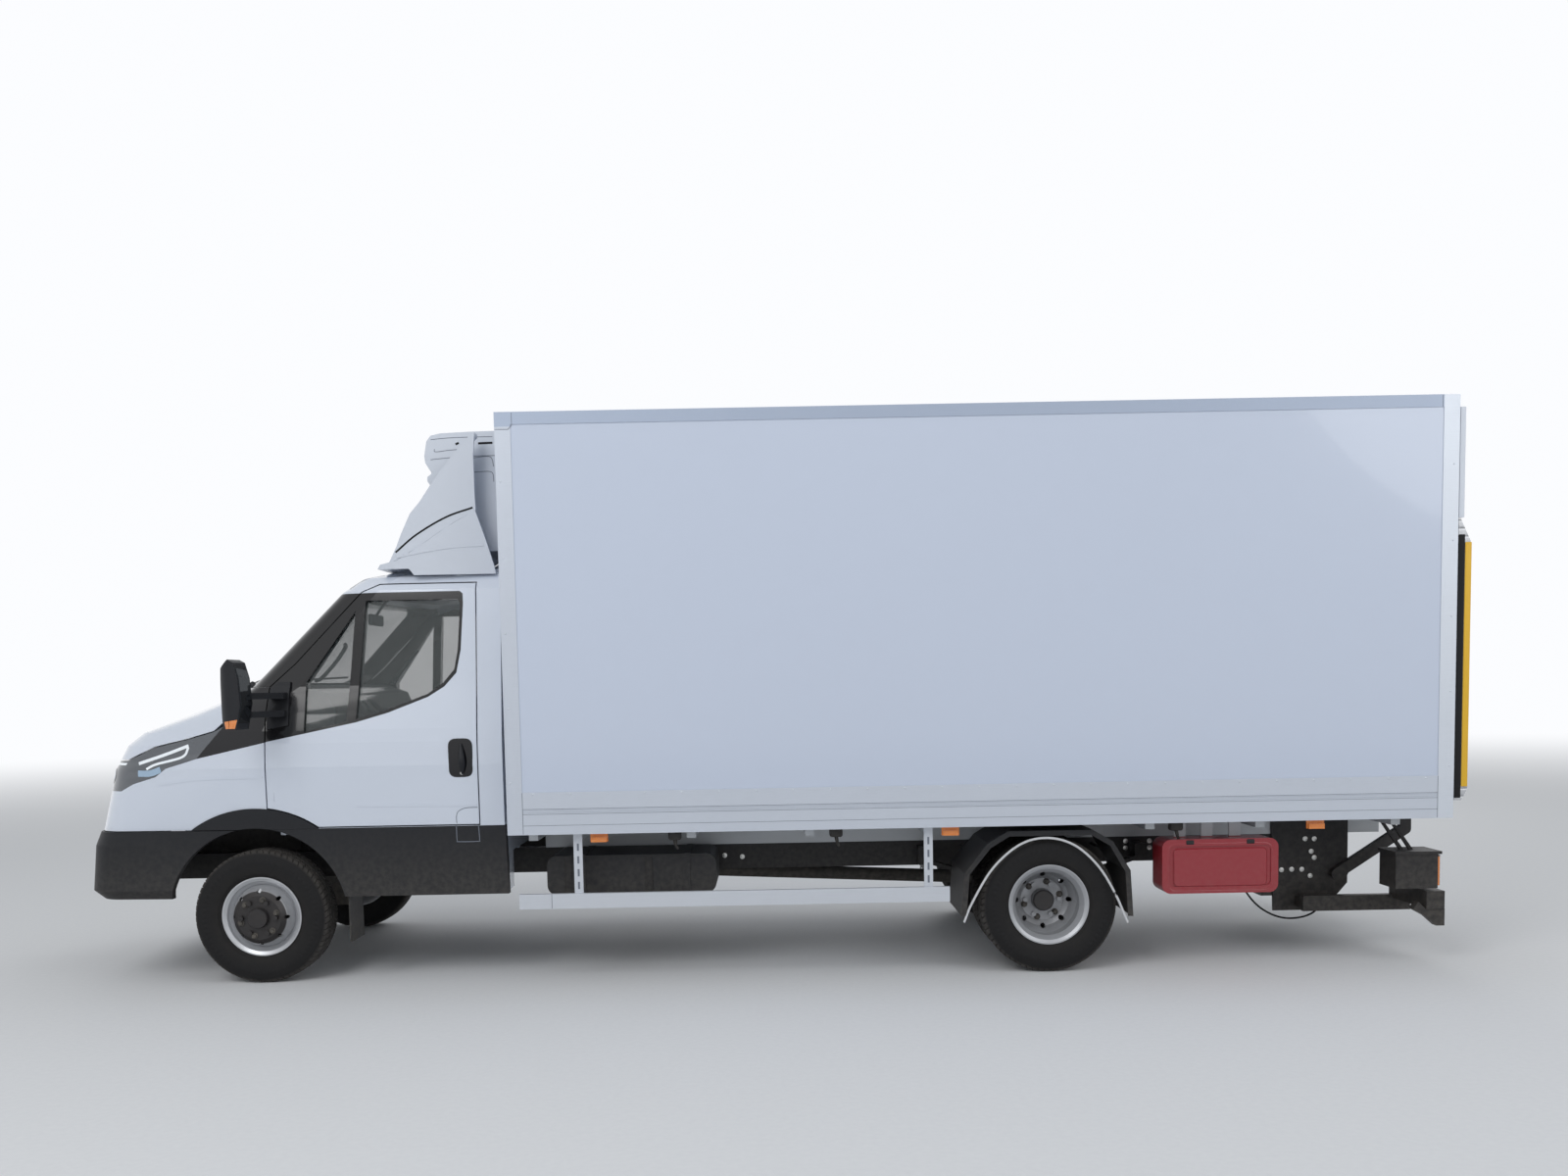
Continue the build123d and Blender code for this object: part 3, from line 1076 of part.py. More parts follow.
with BuildPart() as leaf_springs:
    front_x, middle_x, rear_x = at(SPRING_FRONT), at(WHEELBASE), at(SPRING_REAR)
    leaf_low_z = SPRING_END_Z - SPRING_THICKNESS
    with BuildSketch(Plane.XZ.offset(-SPRING_Y[1])) as leaf:
        with BuildLine():
            ThreePointArc((front_x, SPRING_END_Z), (middle_x, SPRING_MIDDLE_Z), (rear_x, SPRING_END_Z))
            Line((rear_x, SPRING_END_Z), (rear_x, leaf_low_z))
            middle_low = (middle_x, SPRING_MIDDLE_Z - SPRING_THICKNESS)
            ThreePointArc((rear_x, leaf_low_z), middle_low, (front_x, leaf_low_z))
            Line((front_x, leaf_low_z), (front_x, SPRING_END_Z))
        make_face()
    extrude(leaf.sketch, amount=SPRING_Y[1] - SPRING_Y[0])
    block(WHEELBASE - 70, WHEELBASE + 70, SPRING_Y[0], SPRING_Y[1], 431, 490)
    cross_rod(WHEELBASE, AXLE_HEIGHT, AXLE_TUBE_RADIUS + 0.2, 0, AXLE_TUBE_END, mode=Mode.SUBTRACT)
    for place in (SPRING_FRONT, SPRING_REAR):
        block(place - 30, place + 30, RAIL_Y + 0.2, SPRING_Y[1], 540, 640)
    mirror(about=Plane.XZ)

# Drive train as plain blocks at their real places
ENGINE_FRONT = -640.0
ENGINE_REAR = 10.0
ENGINE_HALF = 310.0
ENGINE_Z = (530.0, 1180.0)
GEARBOX_REAR = 720.0
GEARBOX_HALF = 190.0
GEARBOX_Z = (505.0, 800.0)
with BuildPart() as engine_and_gearbox:
    block(ENGINE_FRONT, ENGINE_REAR, -ENGINE_HALF, ENGINE_HALF, *ENGINE_Z)
    block(ENGINE_REAR, GEARBOX_REAR, -GEARBOX_HALF, GEARBOX_HALF, *GEARBOX_Z)
    block(640, 700, -RAIL_Y, RAIL_Y, 490, RAIL_BOTTOM_Z - SKIN_GAP)
    for sign in (-1, 1):
        near, far = span(sign, 300, RAIL_Y - RAIL_SHEET - SKIN_GAP)
        block(-420, -340, near, far, 580, 620)
PROP_RADIUS = 40.0
prop_from = Vector(at(700), 0, 545)
axle_centre = Vector(at(WHEELBASE), 0, AXLE_HEIGHT)
prop_axis = (axle_centre - prop_from).normalized()
prop_to = axle_centre - prop_axis * (DIFFERENTIAL_RADIUS + SKIN_GAP)
with BuildPart() as propshaft:
    with BuildSketch(Plane(prop_from, z_dir=prop_axis)) as tube:
        Circle(PROP_RADIUS)
    extrude(tube.sketch, amount=(prop_to - prop_from).length)
with BuildPart() as drive_train:
    add(engine_and_gearbox.part)
    add(propshaft.part)
with BuildPart() as exhaust:
    rounded_prism([(1650, 640), (2450, 640), (2450, 440), (1650, 440)], 60, -720, -480)
    block(1900, 2100, -481, -RAIL_Y, 560, 620)

# Side equipment under the box
TANK_FRONT = 1583.0
TANK_REAR = 2525.0
TANK_LOW_Z = 454.0
TANK_HIGH_Z = 674.0
TANK_Y = (470.0, 905.0)
TANK_CORNER = 55.0
TANK_STRAPS = (1760.0, 2340.0)
STRAP_LENGTH = 40.0
STRAP_PROUD = 4.0
with BuildPart() as fuel_tank:
    tank_side = [
        (TANK_FRONT, TANK_HIGH_Z),
        (TANK_REAR, TANK_HIGH_Z),
        (TANK_REAR, TANK_LOW_Z),
        (TANK_FRONT, TANK_LOW_Z),
    ]
    rounded_prism(tank_side, TANK_CORNER, *TANK_Y)
    for strap in TANK_STRAPS:
        low, high = TANK_LOW_Z - STRAP_PROUD, TANK_HIGH_Z + STRAP_PROUD
        block(strap, strap + STRAP_LENGTH, TANK_Y[0] - STRAP_PROUD, TANK_Y[1] + STRAP_PROUD, low, high)
        block(strap, strap + STRAP_LENGTH, RAIL_Y, TANK_Y[0], 560, 640)

GUARD_FRONT = 1459.0
GUARD_REAR = 3802.0
GUARD_Z = (408.0, 489.0)
GUARD_Y = (1062.0, 1088.0)
GUARD_STAYS = (1782.0, 3690.0)
GUARD_STAY_HALF = 24.0
GUARD_STAY_SHEET = 8.0
with BuildPart() as side_guards:
    block(GUARD_FRONT, GUARD_REAR, *GUARD_Y, *GUARD_Z)
    for place in GUARD_STAYS:
        front, rear = place - GUARD_STAY_HALF, place + GUARD_STAY_HALF
        block(front, rear, GUARD_Y[0] - GUARD_STAY_SHEET, GUARD_Y[0], GUARD_Z[0], BOX_BOTTOM_Z)
    mirror(about=Plane.XZ)

MUDGUARD_OUTER = [
    (3862, 327),
    (3882, 560),
    (4010, 720),
    (4120, 785),
    (4580, 785),
    (4690, 720),
    (4785, 560),
    (4800, 309),
]
MUDGUARD_INNER = [
    (3892, 327),
    (3910, 552),
    (4026, 696),
    (4128, 757),
    (4572, 757),
    (4674, 696),
    (4757, 552),
    (4772, 309),
]
MUDGUARD_SHEET = 6.0
MUDGUARD_RIM = 8.0
MUDGUARD_STAYS = ((3957, 632), (4727, 632))
MUDGUARD_Y = (575.0, 1090.0)
FRONT_FLAP = (494.0, 502.0)
FRONT_FLAP_Y = (740.0, 975.0)
FRONT_FLAP_LOW_Z = 225.0
with BuildPart() as mudguards:
    side_prism(MUDGUARD_OUTER, *MUDGUARD_Y)
    hollow = []
    for place, height in MUDGUARD_OUTER:
        inward = MUDGUARD_SHEET if place < WHEELBASE else -MUDGUARD_SHEET
        hollow.append((place + inward, height - MUDGUARD_SHEET))
    side_prism(hollow, MUDGUARD_Y[0] - 1, MUDGUARD_Y[1] - MUDGUARD_RIM, mode=Mode.SUBTRACT)
    mouth = [(MUDGUARD_INNER[0][0], 200)] + MUDGUARD_INNER + [(MUDGUARD_INNER[-1][0], 200)]
    side_prism(mouth, MUDGUARD_Y[0] - 1, MUDGUARD_Y[1] + 1, mode=Mode.SUBTRACT)
    block(*FRONT_FLAP, *FRONT_FLAP_Y, FRONT_FLAP_LOW_Z, SILL_BOTTOM_Z - SKIN_GAP)
    for stay in MUDGUARD_STAYS:
        cross_rod(*stay, 9, RAIL_Y + SKIN_GAP, MUDGUARD_Y[0] + 20)
    mirror(about=Plane.XZ)

CASE_Y = (865.0, 1050.0)
CASE_OUTLINE = [(4968, 718), (5602, 718), (5602, 420), (4968, 420)]
CASE_CORNER = 48.0
LID_OUTLINE = [(5008, 680), (5562, 680), (5562, 458), (5008, 458)]
LID_CORNER = 30.0
LID_RECESS = 6.0
CASE_BRACKETS = (5095.0, 5245.0, 5400.0)
CASE_BRACKET_HALF = 32.0
CASE_BRACKET_Y = (930.0, 942.0)
with BuildPart() as extinguisher_box:
    rounded_prism(CASE_OUTLINE, CASE_CORNER, *CASE_Y)
    lid_floor = CASE_Y[1] - LID_RECESS
    rounded_prism(LID_OUTLINE, LID_CORNER, lid_floor, CASE_Y[1] + 10, mode=Mode.SUBTRACT)
    for place in CASE_BRACKETS:
        front, rear = place - CASE_BRACKET_HALF, place + CASE_BRACKET_HALF
        block(front, rear, *CASE_BRACKET_Y, 717, FLOOR_LOW_Z - SKIN_GAP)

MARKER_PLACES = (1900.0, 3810.0, 5795.0)

# Tail lift: side plates on the rails, arms, hinge tube, lift cylinders, underrun bar
PLATE_Y = (RAIL_Y + SKIN_GAP, RAIL_Y + 16.0)
LUG_Y = ((165.0, 180.0), (220.0, 235.0))
LUG_REACH = 150.0
CYLINDER_BASE = (5850.0, 330.0)
CYLINDER_Y = 200.0
arm_angle = atan2(LIFT_HINGE[1] - LIFT_PIVOT[1], LIFT_HINGE[0] - LIFT_PIVOT[0])
lug_angle = arm_angle - radians(60)
LUG_PIN = (LIFT_PIVOT[0] + LUG_REACH * cos(lug_angle), LIFT_PIVOT[1] + LUG_REACH * sin(lug_angle))
TORSION_RADIUS = 34.0
LIFT_PLATE = [(5785, 760), (6238, 760), (6238, 372), (6100, 212), (5800, 212)]
CLEVIS_Y = (22.0, 34.0)
CLEVIS_PIN_RADIUS = 14.0
LIFT_BEAM = (5730.0, 5790.0)
LIFT_BEAM_Z = (300.0, 360.0)
GUSSET_REAR = 5830.0
GUSSET_Y = (380.0, PLATE_Y[0] + 6)
with BuildPart() as tail_lift_frame:
    side_prism(LIFT_PLATE, *PLATE_Y)
    cross_rod(*LIFT_PIVOT, TORSION_RADIUS + SHAFT_CLEARANCE, 400, 500, mode=Mode.SUBTRACT)
    clevis_front, clevis_rear = CYLINDER_BASE[0] - 70, CYLINDER_BASE[0] + 22
    clevis_low, clevis_high = CYLINDER_BASE[1] - 24, CYLINDER_BASE[1] + 24
    for sign in (-1, 1):
        low, high = span(sign, *CLEVIS_Y)
        block(clevis_front, clevis_rear, CYLINDER_Y + low, CYLINDER_Y + high, clevis_low, clevis_high)
    cross_rod(*CYLINDER_BASE, CLEVIS_PIN_RADIUS, CYLINDER_Y - CLEVIS_Y[1], CYLINDER_Y + CLEVIS_Y[1])
    mirror(about=Plane.XZ)
    block(*LIFT_BEAM, -PLATE_Y[0], PLATE_Y[0], *LIFT_BEAM_Z)
    for sign in (-1, 1):
        block(LIFT_BEAM[0], GUSSET_REAR, *span(sign, *GUSSET_Y), *LIFT_BEAM_Z)


def arm_bar(start, end, width, y_from, y_to, mode=Mode.ADD):
    """A flat bar with round ends between two side-view places."""
    run = hypot(end[0] - start[0], end[1] - start[1])
    angle = atan2(end[1] - start[1], at(end[0]) - at(start[0]))
    middle_x = at((start[0] + end[0]) / 2)
    middle_z = (start[1] + end[1]) / 2
    bar_middle = (middle_x, y_to, middle_z)
    bar_plane = Plane(bar_middle, x_dir=(cos(angle), 0, sin(angle)), z_dir=(0, -1, 0))
    with BuildSketch(bar_plane) as bar:
        SlotCenterToCenter(run, width)
    extrude(bar.sketch, amount=y_to - y_from, mode=mode)


with BuildPart() as lift_arms:
    for sign in (1, -1):
        near, far = span(sign, ARM_INNER_Y, ARM_INNER_Y + ARM_WIDTH)
        arm_bar(LIFT_PIVOT, LIFT_ELBOW, ARM_DEPTH, near, far)
        arm_bar(LIFT_ELBOW, LIFT_HINGE, ARM_DEPTH, near, far)
        cross_rod(*LIFT_HINGE, LIFT_PIN_RADIUS + SHAFT_CLEARANCE, near, far, mode=Mode.SUBTRACT)
    cross_rod(*LIFT_PIVOT, TORSION_RADIUS, -ARM_INNER_Y, ARM_INNER_Y)
    for sign in (1, -1):
        for low, high in LUG_Y:
            near, far = span(sign, low, high)
            arm_bar(LIFT_PIVOT, LUG_PIN, LUG_DEPTH, near, far)
            cross_rod(*LUG_PIN, LUG_BORE_RADIUS, near, far, mode=Mode.SUBTRACT)

# Hinge tube: a stepped shaft through arms and platform lugs, with the lever bar that keeps it level
HINGE_TUBE_RADIUS = 34.0
LEVER_BAR = (6520.0, 6586.0)
LEVER_BAR_Z = (783.0, 824.0)
LEVER_BAR_HALF = 440.0
LEVER_WEBS = (-391.0, -215.0, 0.0, 215.0, 391.0)
LEVER_WEB_HALF = 12.0
LEVER_WEB_DEPTH = 20.0
with BuildPart() as lift_hinge_tube:
    pin_end = ARM_INNER_Y + ARM_WIDTH + 4
    cross_rod(*LIFT_HINGE, LIFT_PIN_RADIUS, -pin_end, pin_end)
    middle_end = PLATFORM_LUG_Y[0] - MOVING_GAP
    cross_rod(*LIFT_HINGE, HINGE_TUBE_RADIUS, -middle_end, middle_end)
    for sign in (-1, 1):
        near, far = span(sign, PLATFORM_LUG_Y[1] + MOVING_GAP, ARM_INNER_Y - MOVING_GAP)
        cross_rod(*LIFT_HINGE, HINGE_TUBE_RADIUS, near, far)
    block(*LEVER_BAR, -LEVER_BAR_HALF, LEVER_BAR_HALF, *LEVER_BAR_Z)
    web_front, web_rear = LIFT_HINGE[0] - LEVER_WEB_DEPTH, LIFT_HINGE[0] + LEVER_WEB_DEPTH
    for web_y in LEVER_WEBS:
        near, far = web_y - LEVER_WEB_HALF, web_y + LEVER_WEB_HALF
        block(web_front, web_rear, near, far, LEVER_BAR_Z[0], LIFT_HINGE[1])

BARREL_LENGTH = 270.0
BARREL_START = 46.0
BARREL_BORE_START = 60.0
BARREL_RADIUS = 30.0
NECK_RUN = (10.0, 50.0)
NECK_RADIUS = 15.0
ROD_RADIUS = 16.0
ROD_INSIDE = 30.0
ROD_EYE_RADIUS = 24.0
cyl_run = hypot(LUG_PIN[0] - CYLINDER_BASE[0], LUG_PIN[1] - CYLINDER_BASE[1])
cyl_dir = Vector(-(LUG_PIN[0] - CYLINDER_BASE[0]) / cyl_run, 0, (LUG_PIN[1] - CYLINDER_BASE[1]) / cyl_run)


def cylinder_round(y, start, end, radius, mode=Mode.ADD):
    """A round piece or bore on a lift cylinder's line between two distances from its base pin."""
    base = Vector(at(CYLINDER_BASE[0]), y, CYLINDER_BASE[1])
    with BuildSketch(Plane(base + cyl_dir * start, z_dir=cyl_dir)) as section:
        Circle(radius)
    extrude(section.sketch, amount=end - start, mode=mode)


with BuildPart() as lift_barrels:
    for y in (CYLINDER_Y, -CYLINDER_Y):
        cylinder_round(y, *NECK_RUN, NECK_RADIUS)
        cylinder_round(y, BARREL_START, BARREL_LENGTH, BARREL_RADIUS)
        cross_rod(*CYLINDER_BASE, ROD_EYE_RADIUS, y - 16, y + 16)
        pin_bore = CLEVIS_PIN_RADIUS + SHAFT_CLEARANCE
        cross_rod(*CYLINDER_BASE, pin_bore, y - 40, y + 40, mode=Mode.SUBTRACT)
        bore_end = BARREL_BORE_START + BARREL_LENGTH
        cylinder_round(y, BARREL_BORE_START, bore_end, ROD_RADIUS + SHAFT_CLEARANCE, mode=Mode.SUBTRACT)
with BuildPart() as lift_rods:
    for y in (CYLINDER_Y, -CYLINDER_Y):
        cylinder_round(y, BARREL_LENGTH - ROD_INSIDE, cyl_run, ROD_RADIUS)
        cross_rod(*LUG_PIN, ROD_EYE_RADIUS, y - 14, y + 14)

UNDERRUN_FOOT = [(6400, 340), (6368, 300), (6440, 260), (6500, 206), (6545, 206), (6545, 301), (6440, 301)]
LAMP_BODY = (6268.0, 6500.0)
LAMP_BODY_Y = (800.0, 1000.0)
LAMP_BODY_Z = (416.0, 616.0)
HOOD_SHEET = 8.0
HOOD_Z = (606.0, 622.0)
STAY_PLACES = (6238.0, 6290.0)
TAIL_LENS_Y = (810.0, 990.0)
TAIL_LENS_Z = (430.0, 590.0)
MARKER_Y = (1066.0, 1090.0)
MARKER_Z = (768.0, 796.0)
MARKER_HALF = 42.0
MARKER_BASE_HALF = 48.0
MARKER_SHEET = 4.0
with BuildPart() as underrun_bar:
    block(6440, 6540, 545, 1000, 300, 400)
    block(5918, 6540, 550, 600, 231, 320)
    block(5930, 5990, PLATE_Y[1], 551, 240, 300)
    side_prism(UNDERRUN_FOOT, 940, 992)
    block(*LAMP_BODY, *LAMP_BODY_Y, *LAMP_BODY_Z)
    near, far = LAMP_BODY_Y[0] - HOOD_SHEET, LAMP_BODY_Y[1] + HOOD_SHEET
    block(LAMP_BODY[0] - 8, LAMP_BODY[1] + 18, near, far, *HOOD_Z)
    for place in STAY_PLACES:
        side_prism([(place - 8, 778), (place + 8, 778), (place + 118, 622), (place + 96, 622)], 880, 900)
    mirror(about=Plane.XZ)
with BuildPart() as body_lamps:
    block(LAMP_BODY[1] + SKIN_GAP, LAMP_BODY[1] + 14, *TAIL_LENS_Y, *TAIL_LENS_Z)
    for place in MARKER_PLACES:
        block(place - MARKER_HALF, place + MARKER_HALF, *MARKER_Y, *MARKER_Z)
        front, rear = place - MARKER_BASE_HALF, place + MARKER_BASE_HALF
        block(front, rear, MARKER_Y[0] - MARKER_SHEET, MARKER_Y[0], MARKER_Z[0], BOX_BOTTOM_Z)
    mirror(about=Plane.XZ)

# Every finished piece, under its node's name
pieces = {
    "bonnet": bonnet,
    "headlamps": headlamps,
    "scuttle": scuttle,
    "front_wings": front_wings,
    "grille": grille,
    "windscreen": windscreen,
    "cab_shell": cab_shell,
    "front_bumper": front_bumper,
    "cab_cladding": cab_cladding,
    "dashboard": dashboard,
    "steering_wheel": steering_wheel,
    "seats": seats,
    "roof_deflector": roof_deflector,
    "fridge_unit": fridge_unit,
    "box_floor": box_floor,
    "box_side_walls": box_side_walls,
    "box_roof": box_roof,
    "box_front_wall": box_front_wall,
    "box_edge_profiles": box_edge_profiles,
    "rear_frame": rear_frame,
    "top_flap": top_flap,
    "frame_rails": frame_rails,
    "frame_crossmembers": frame_crossmembers,
    "subframe": subframe,
    "floor_bearers": floor_bearers,
    "front_suspension": front_suspension,
    "rear_axle": rear_axle,
    "leaf_springs": leaf_springs,
    "drive_train": drive_train,
    "exhaust": exhaust,
    "fuel_tank": fuel_tank,
    "side_guards": side_guards,
    "mudguards": mudguards,
    "extinguisher_box": extinguisher_box,
    "tail_lift_frame": tail_lift_frame,
    "lift_arms": lift_arms,
    "lift_hinge_tube": lift_hinge_tube,
    "lift_platform": lift_platform,
    "lift_barrels": lift_barrels,
    "lift_rods": lift_rods,
    "underrun_bar": underrun_bar,
    "body_lamps": body_lamps,
}
for side, sign in SIDES:
    pieces[f"door_{side}"] = doors[side]
    pieces[f"door_glass_{side}"] = door_glasses[side]
    pieces[f"mirror_{side}"] = mirrors[side]
    pieces[f"knuckle_{side}"] = knuckles[side]
    pieces[f"front_tyre_{side}"] = front_tyres[side]
    pieces[f"front_rim_{side}"] = front_rims[side]
    pieces[f"rear_tyres_{side}"] = rear_tyres[side]
    pieces[f"rear_rims_{side}"] = rear_rims[side]
for name, piece in pieces.items():
    write(piece.part, name)
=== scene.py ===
"""Looks of a light refrigerated truck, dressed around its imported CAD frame.

Metres, in the frame of the CAD part: +X is forward, +Y the truck's left, +Z up, with the ground at Z = 0.
Most places are written as a distance behind the front axle, and behind() turns one into X.
"""
import logging
import math
from dataclasses import dataclass, field
from enum import Enum

import bmesh
import bpy
import numpy as np
from mathutils import Matrix, Vector


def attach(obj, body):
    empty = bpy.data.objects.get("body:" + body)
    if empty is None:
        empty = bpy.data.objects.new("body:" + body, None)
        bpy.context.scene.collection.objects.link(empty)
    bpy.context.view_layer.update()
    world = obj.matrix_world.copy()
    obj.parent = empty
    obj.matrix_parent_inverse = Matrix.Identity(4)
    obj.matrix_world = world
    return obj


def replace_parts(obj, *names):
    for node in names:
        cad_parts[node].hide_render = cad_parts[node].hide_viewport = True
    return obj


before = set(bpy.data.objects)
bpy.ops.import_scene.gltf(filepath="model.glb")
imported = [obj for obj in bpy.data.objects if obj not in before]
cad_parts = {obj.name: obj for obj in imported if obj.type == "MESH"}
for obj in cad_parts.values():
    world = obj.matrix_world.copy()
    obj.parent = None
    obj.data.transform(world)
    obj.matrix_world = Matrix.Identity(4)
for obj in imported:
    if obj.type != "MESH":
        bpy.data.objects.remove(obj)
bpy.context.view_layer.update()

LOG = logging.getLogger("truck")
Array = np.ndarray
Colour = tuple[float, float, float]
Place = tuple[float, float, float]
Spot = tuple[float, float]
Line = tuple[Spot, ...]
Rectangle = tuple[float, float, float, float]

FRONT_AXLE_X = 2.775
WHEELBASE = 4.35
AXLE_HEIGHT = 0.372


def behind(distance: float | Array) -> float | Array:
    """X of a place a distance behind the front axle."""
    return FRONT_AXLE_X - distance


# Shader maths


class Link:
    """An output socket that takes part in sums: an expression on it adds its Math nodes."""

    def __init__(self, tree: "Tree", socket: bpy.types.NodeSocket) -> None:
        """Wraps one socket of a tree."""
        self.tree = tree
        self.socket = socket

    def _math(self, operation: str, *values: "Link | float") -> "Link":
        """A Math node of one operation on these values."""
        return self.tree.node("Math", {"operation": operation}, dict(enumerate(values)))

    def __add__(self, other: "Link | float") -> "Link":
        """Sum."""
        return self._math("ADD", self, other)

    def __sub__(self, other: "Link | float") -> "Link":
        """Difference."""
        return self._math("SUBTRACT", self, other)

    def __rsub__(self, other: float) -> "Link":
        """Difference from a number."""
        return self._math("SUBTRACT", other, self)

    def __mul__(self, other: "Link | float") -> "Link":
        """Product."""
        return self._math("MULTIPLY", self, other)

    def sine(self) -> "Link":
        """Sine of the value in radians."""
        return self._math("SINE", self)

    def power(self, exponent: float) -> "Link":
        """The value raised to a power."""
        return self._math("POWER", self, exponent)

    def length(self, other: "Link") -> "Link":
        """Length of the vector that has this value and another as its two parts."""
        return (self * self + other * other).power(0.5)

    def least(self, other: "Link | float") -> "Link":
        """The smaller of two values."""
        return self._math("MINIMUM", self, other)

    def ramp(self, low: float, high: float, from_value: float = 0.0, to_value: float = 1.0) -> "Link":
        """A smooth step: from_value at low, to_value at high.

        Args:
            low: input at which the step starts.
            high: input at which it ends.
            from_value: output before the step.
            to_value: output after the step.

        Returns:
            The stepped value.
        """
        return self.tree.node(
            "MapRange",
            {"interpolation_type": "SMOOTHSTEP"},
            {"Value": self, "From Min": low, "From Max": high, "To Min": from_value, "To Max": to_value},
        )


class Tree:
    """The node tree of one material, ending in a Principled shader."""

    def __init__(self, name: str) -> None:
        """Makes the material and finds its shader."""
        self.material = bpy.data.materials.new(name)
        self.material.use_nodes = True
        self.nodes = self.material.node_tree.nodes
        self.links = self.material.node_tree.links
        self.shader = self.nodes["Principled BSDF"]

    def node(self, kind: str, settings: dict[str, str], inputs: dict[str | int, object], output: str | int = 0) -> Link:
        """Adds any node.

        Args:
            kind: the node's type name, without ShaderNode in front.
            settings: properties set before anything else.
            inputs: values or links by the socket's name or number.
            output: the output socket to return.

        Returns:
            A link to that output.
        """
        made = self.nodes.new("ShaderNode" + kind)
        for key, value in settings.items():
            setattr(made, key, value)
        for key, value in inputs.items():
            self.plug(made.inputs[key], value)
        return Link(self, made.outputs[output])

    def plug(self, socket: bpy.types.NodeSocket, value: object) -> None:
        """Gives a socket a link or a constant."""
        if isinstance(value, Link):
            self.links.new(value.socket, socket)
        elif isinstance(value, tuple) and socket.type == "RGBA":
            socket.default_value = (*value, 1.0)
        else:
            socket.default_value = value

    def place(self, scale: Place = (1.0, 1.0, 1.0)) -> Link:
        """Object coordinates, stretched by a scale."""
        return self.node("Mapping", {}, {"Vector": self.node("TexCoord", {}, {}, "Object"), "Scale": scale})

    def axes(self) -> tuple[Link, Link, Link]:
        """Object coordinates as three numbers."""
        split = self.node("SeparateXYZ", {}, {"Vector": self.node("TexCoord", {}, {}, "Object")})
        x, y, z = (Link(self, output) for output in split.socket.node.outputs)
        return x, y, z

    def radius(self, axle: float) -> Link:
        """Distance from the middle of a wheel whose axle lies this far behind the front one."""
        x, _, z = self.axes()
        return (x - behind(axle)).length(z - AXLE_HEIGHT)

    def noise(self, place: Link, scale: float, detail: float = 2.0, roughness: float = 0.5) -> Link:
        """Noise from 0 to 1 at a number of waves per metre."""
        return self.node("TexNoise", {}, {"Vector": place, "Scale": scale, "Detail": detail, "Roughness": roughness})

    def mix(self, first: object, second: object, share: object) -> Link:
        """One colour blended into another by a share."""
        return self.node("Mix", {"data_type": "RGBA"}, {0: share, 6: first, 7: second}, 2)

    def bump(self, height: Link, distance: float) -> Link:
        """A bump of a height link, with its distance in metres."""
        return self.node("Bump", {}, {"Height": height, "Distance": distance, "Strength": 1.0}, "Normal")

    def finish(self, **sockets: object) -> bpy.types.Material:
        """Sets the shader's own sockets, named with underscores for spaces, and returns the material."""
        for key, value in sockets.items():
            self.plug(self.shader.inputs[key.replace("_", " ")], value)
        return self.material


# Finishes


def shade(colour: Colour, share: float) -> Colour:
    """A colour made lighter or darker by a share."""
    return tuple(min(1.0, channel * share) for channel in colour)


ROAD_DUST: Colour = (0.30, 0.27, 0.23)
ALONG: Place = (0.01, 1.0, 1.0)


@dataclass(frozen=True)
class Finish:
    """A solid finish: a colour that wanders slowly, a fine grain, and road dust towards the ground."""

    name: str
    colour: Colour
    roughness: float = 0.5
    metallic: float = 0.0
    coat: float = 0.0
    mottle: float = 0.05
    mottle_scale: float = 2.5
    grain: float = 0.0
    grain_scale: float = 300.0
    dust: float = 0.0
    dust_top: float = 1.0
    upper: Colour | None = None
    split: float = 0.0
    specular: float = 0.5

    def material(self) -> bpy.types.Material:
        """The finish as a material."""
        tree = Tree(self.name)
        colour, roughness = self.surface(tree)
        relief = self.relief(tree)
        return tree.finish(
            Base_Color=colour,
            Roughness=roughness,
            Metallic=self.metallic,
            Coat_Weight=self.lacquer(tree),
            Coat_Roughness=0.04,
            Specular_IOR_Level=self.specular,
            **({} if relief is None else {"Normal": relief}),
        )

    def surface(self, tree: Tree) -> tuple[Link, Link]:
        """Colour and roughness: two noises of different size stir the base, and dust lies on the low parts."""
        wander = tree.noise(tree.place(), self.mottle_scale, 3.0)
        fine = tree.noise(tree.place(), self.mottle_scale * 14.0, 4.0)
        stir = wander * 0.6 + fine * 0.4
        colour = tree.mix(shade(self.colour, 1 - self.mottle), shade(self.colour, 1 + self.mottle), stir)
        roughness = stir * 0.12 + (self.roughness - 0.06)
        if self.upper is not None:
            colour = tree.mix(colour, self.upper, tree.axes()[2].ramp(self.split - 0.001, self.split + 0.001))
        if self.dust > 0:
            height = tree.axes()[2]
            film = height.ramp(0.1, self.dust_top, 1.0, 0.0) * fine.ramp(0.25, 0.75, 0.35, 1.0) * self.dust
            colour = tree.mix(colour, ROAD_DUST, film)
            roughness = roughness + film * 0.35
        return colour, roughness

    def lacquer(self, tree: Tree) -> Link | float:
        """Weight of the clear coat."""
        return self.coat

    def relief(self, tree: Tree) -> Link | None:
        """A fine grain as bump, where the finish has one."""
        if self.grain <= 0:
            return None
        return tree.bump(tree.noise(tree.place(), self.grain_scale, 2.0, 0.6), self.grain)


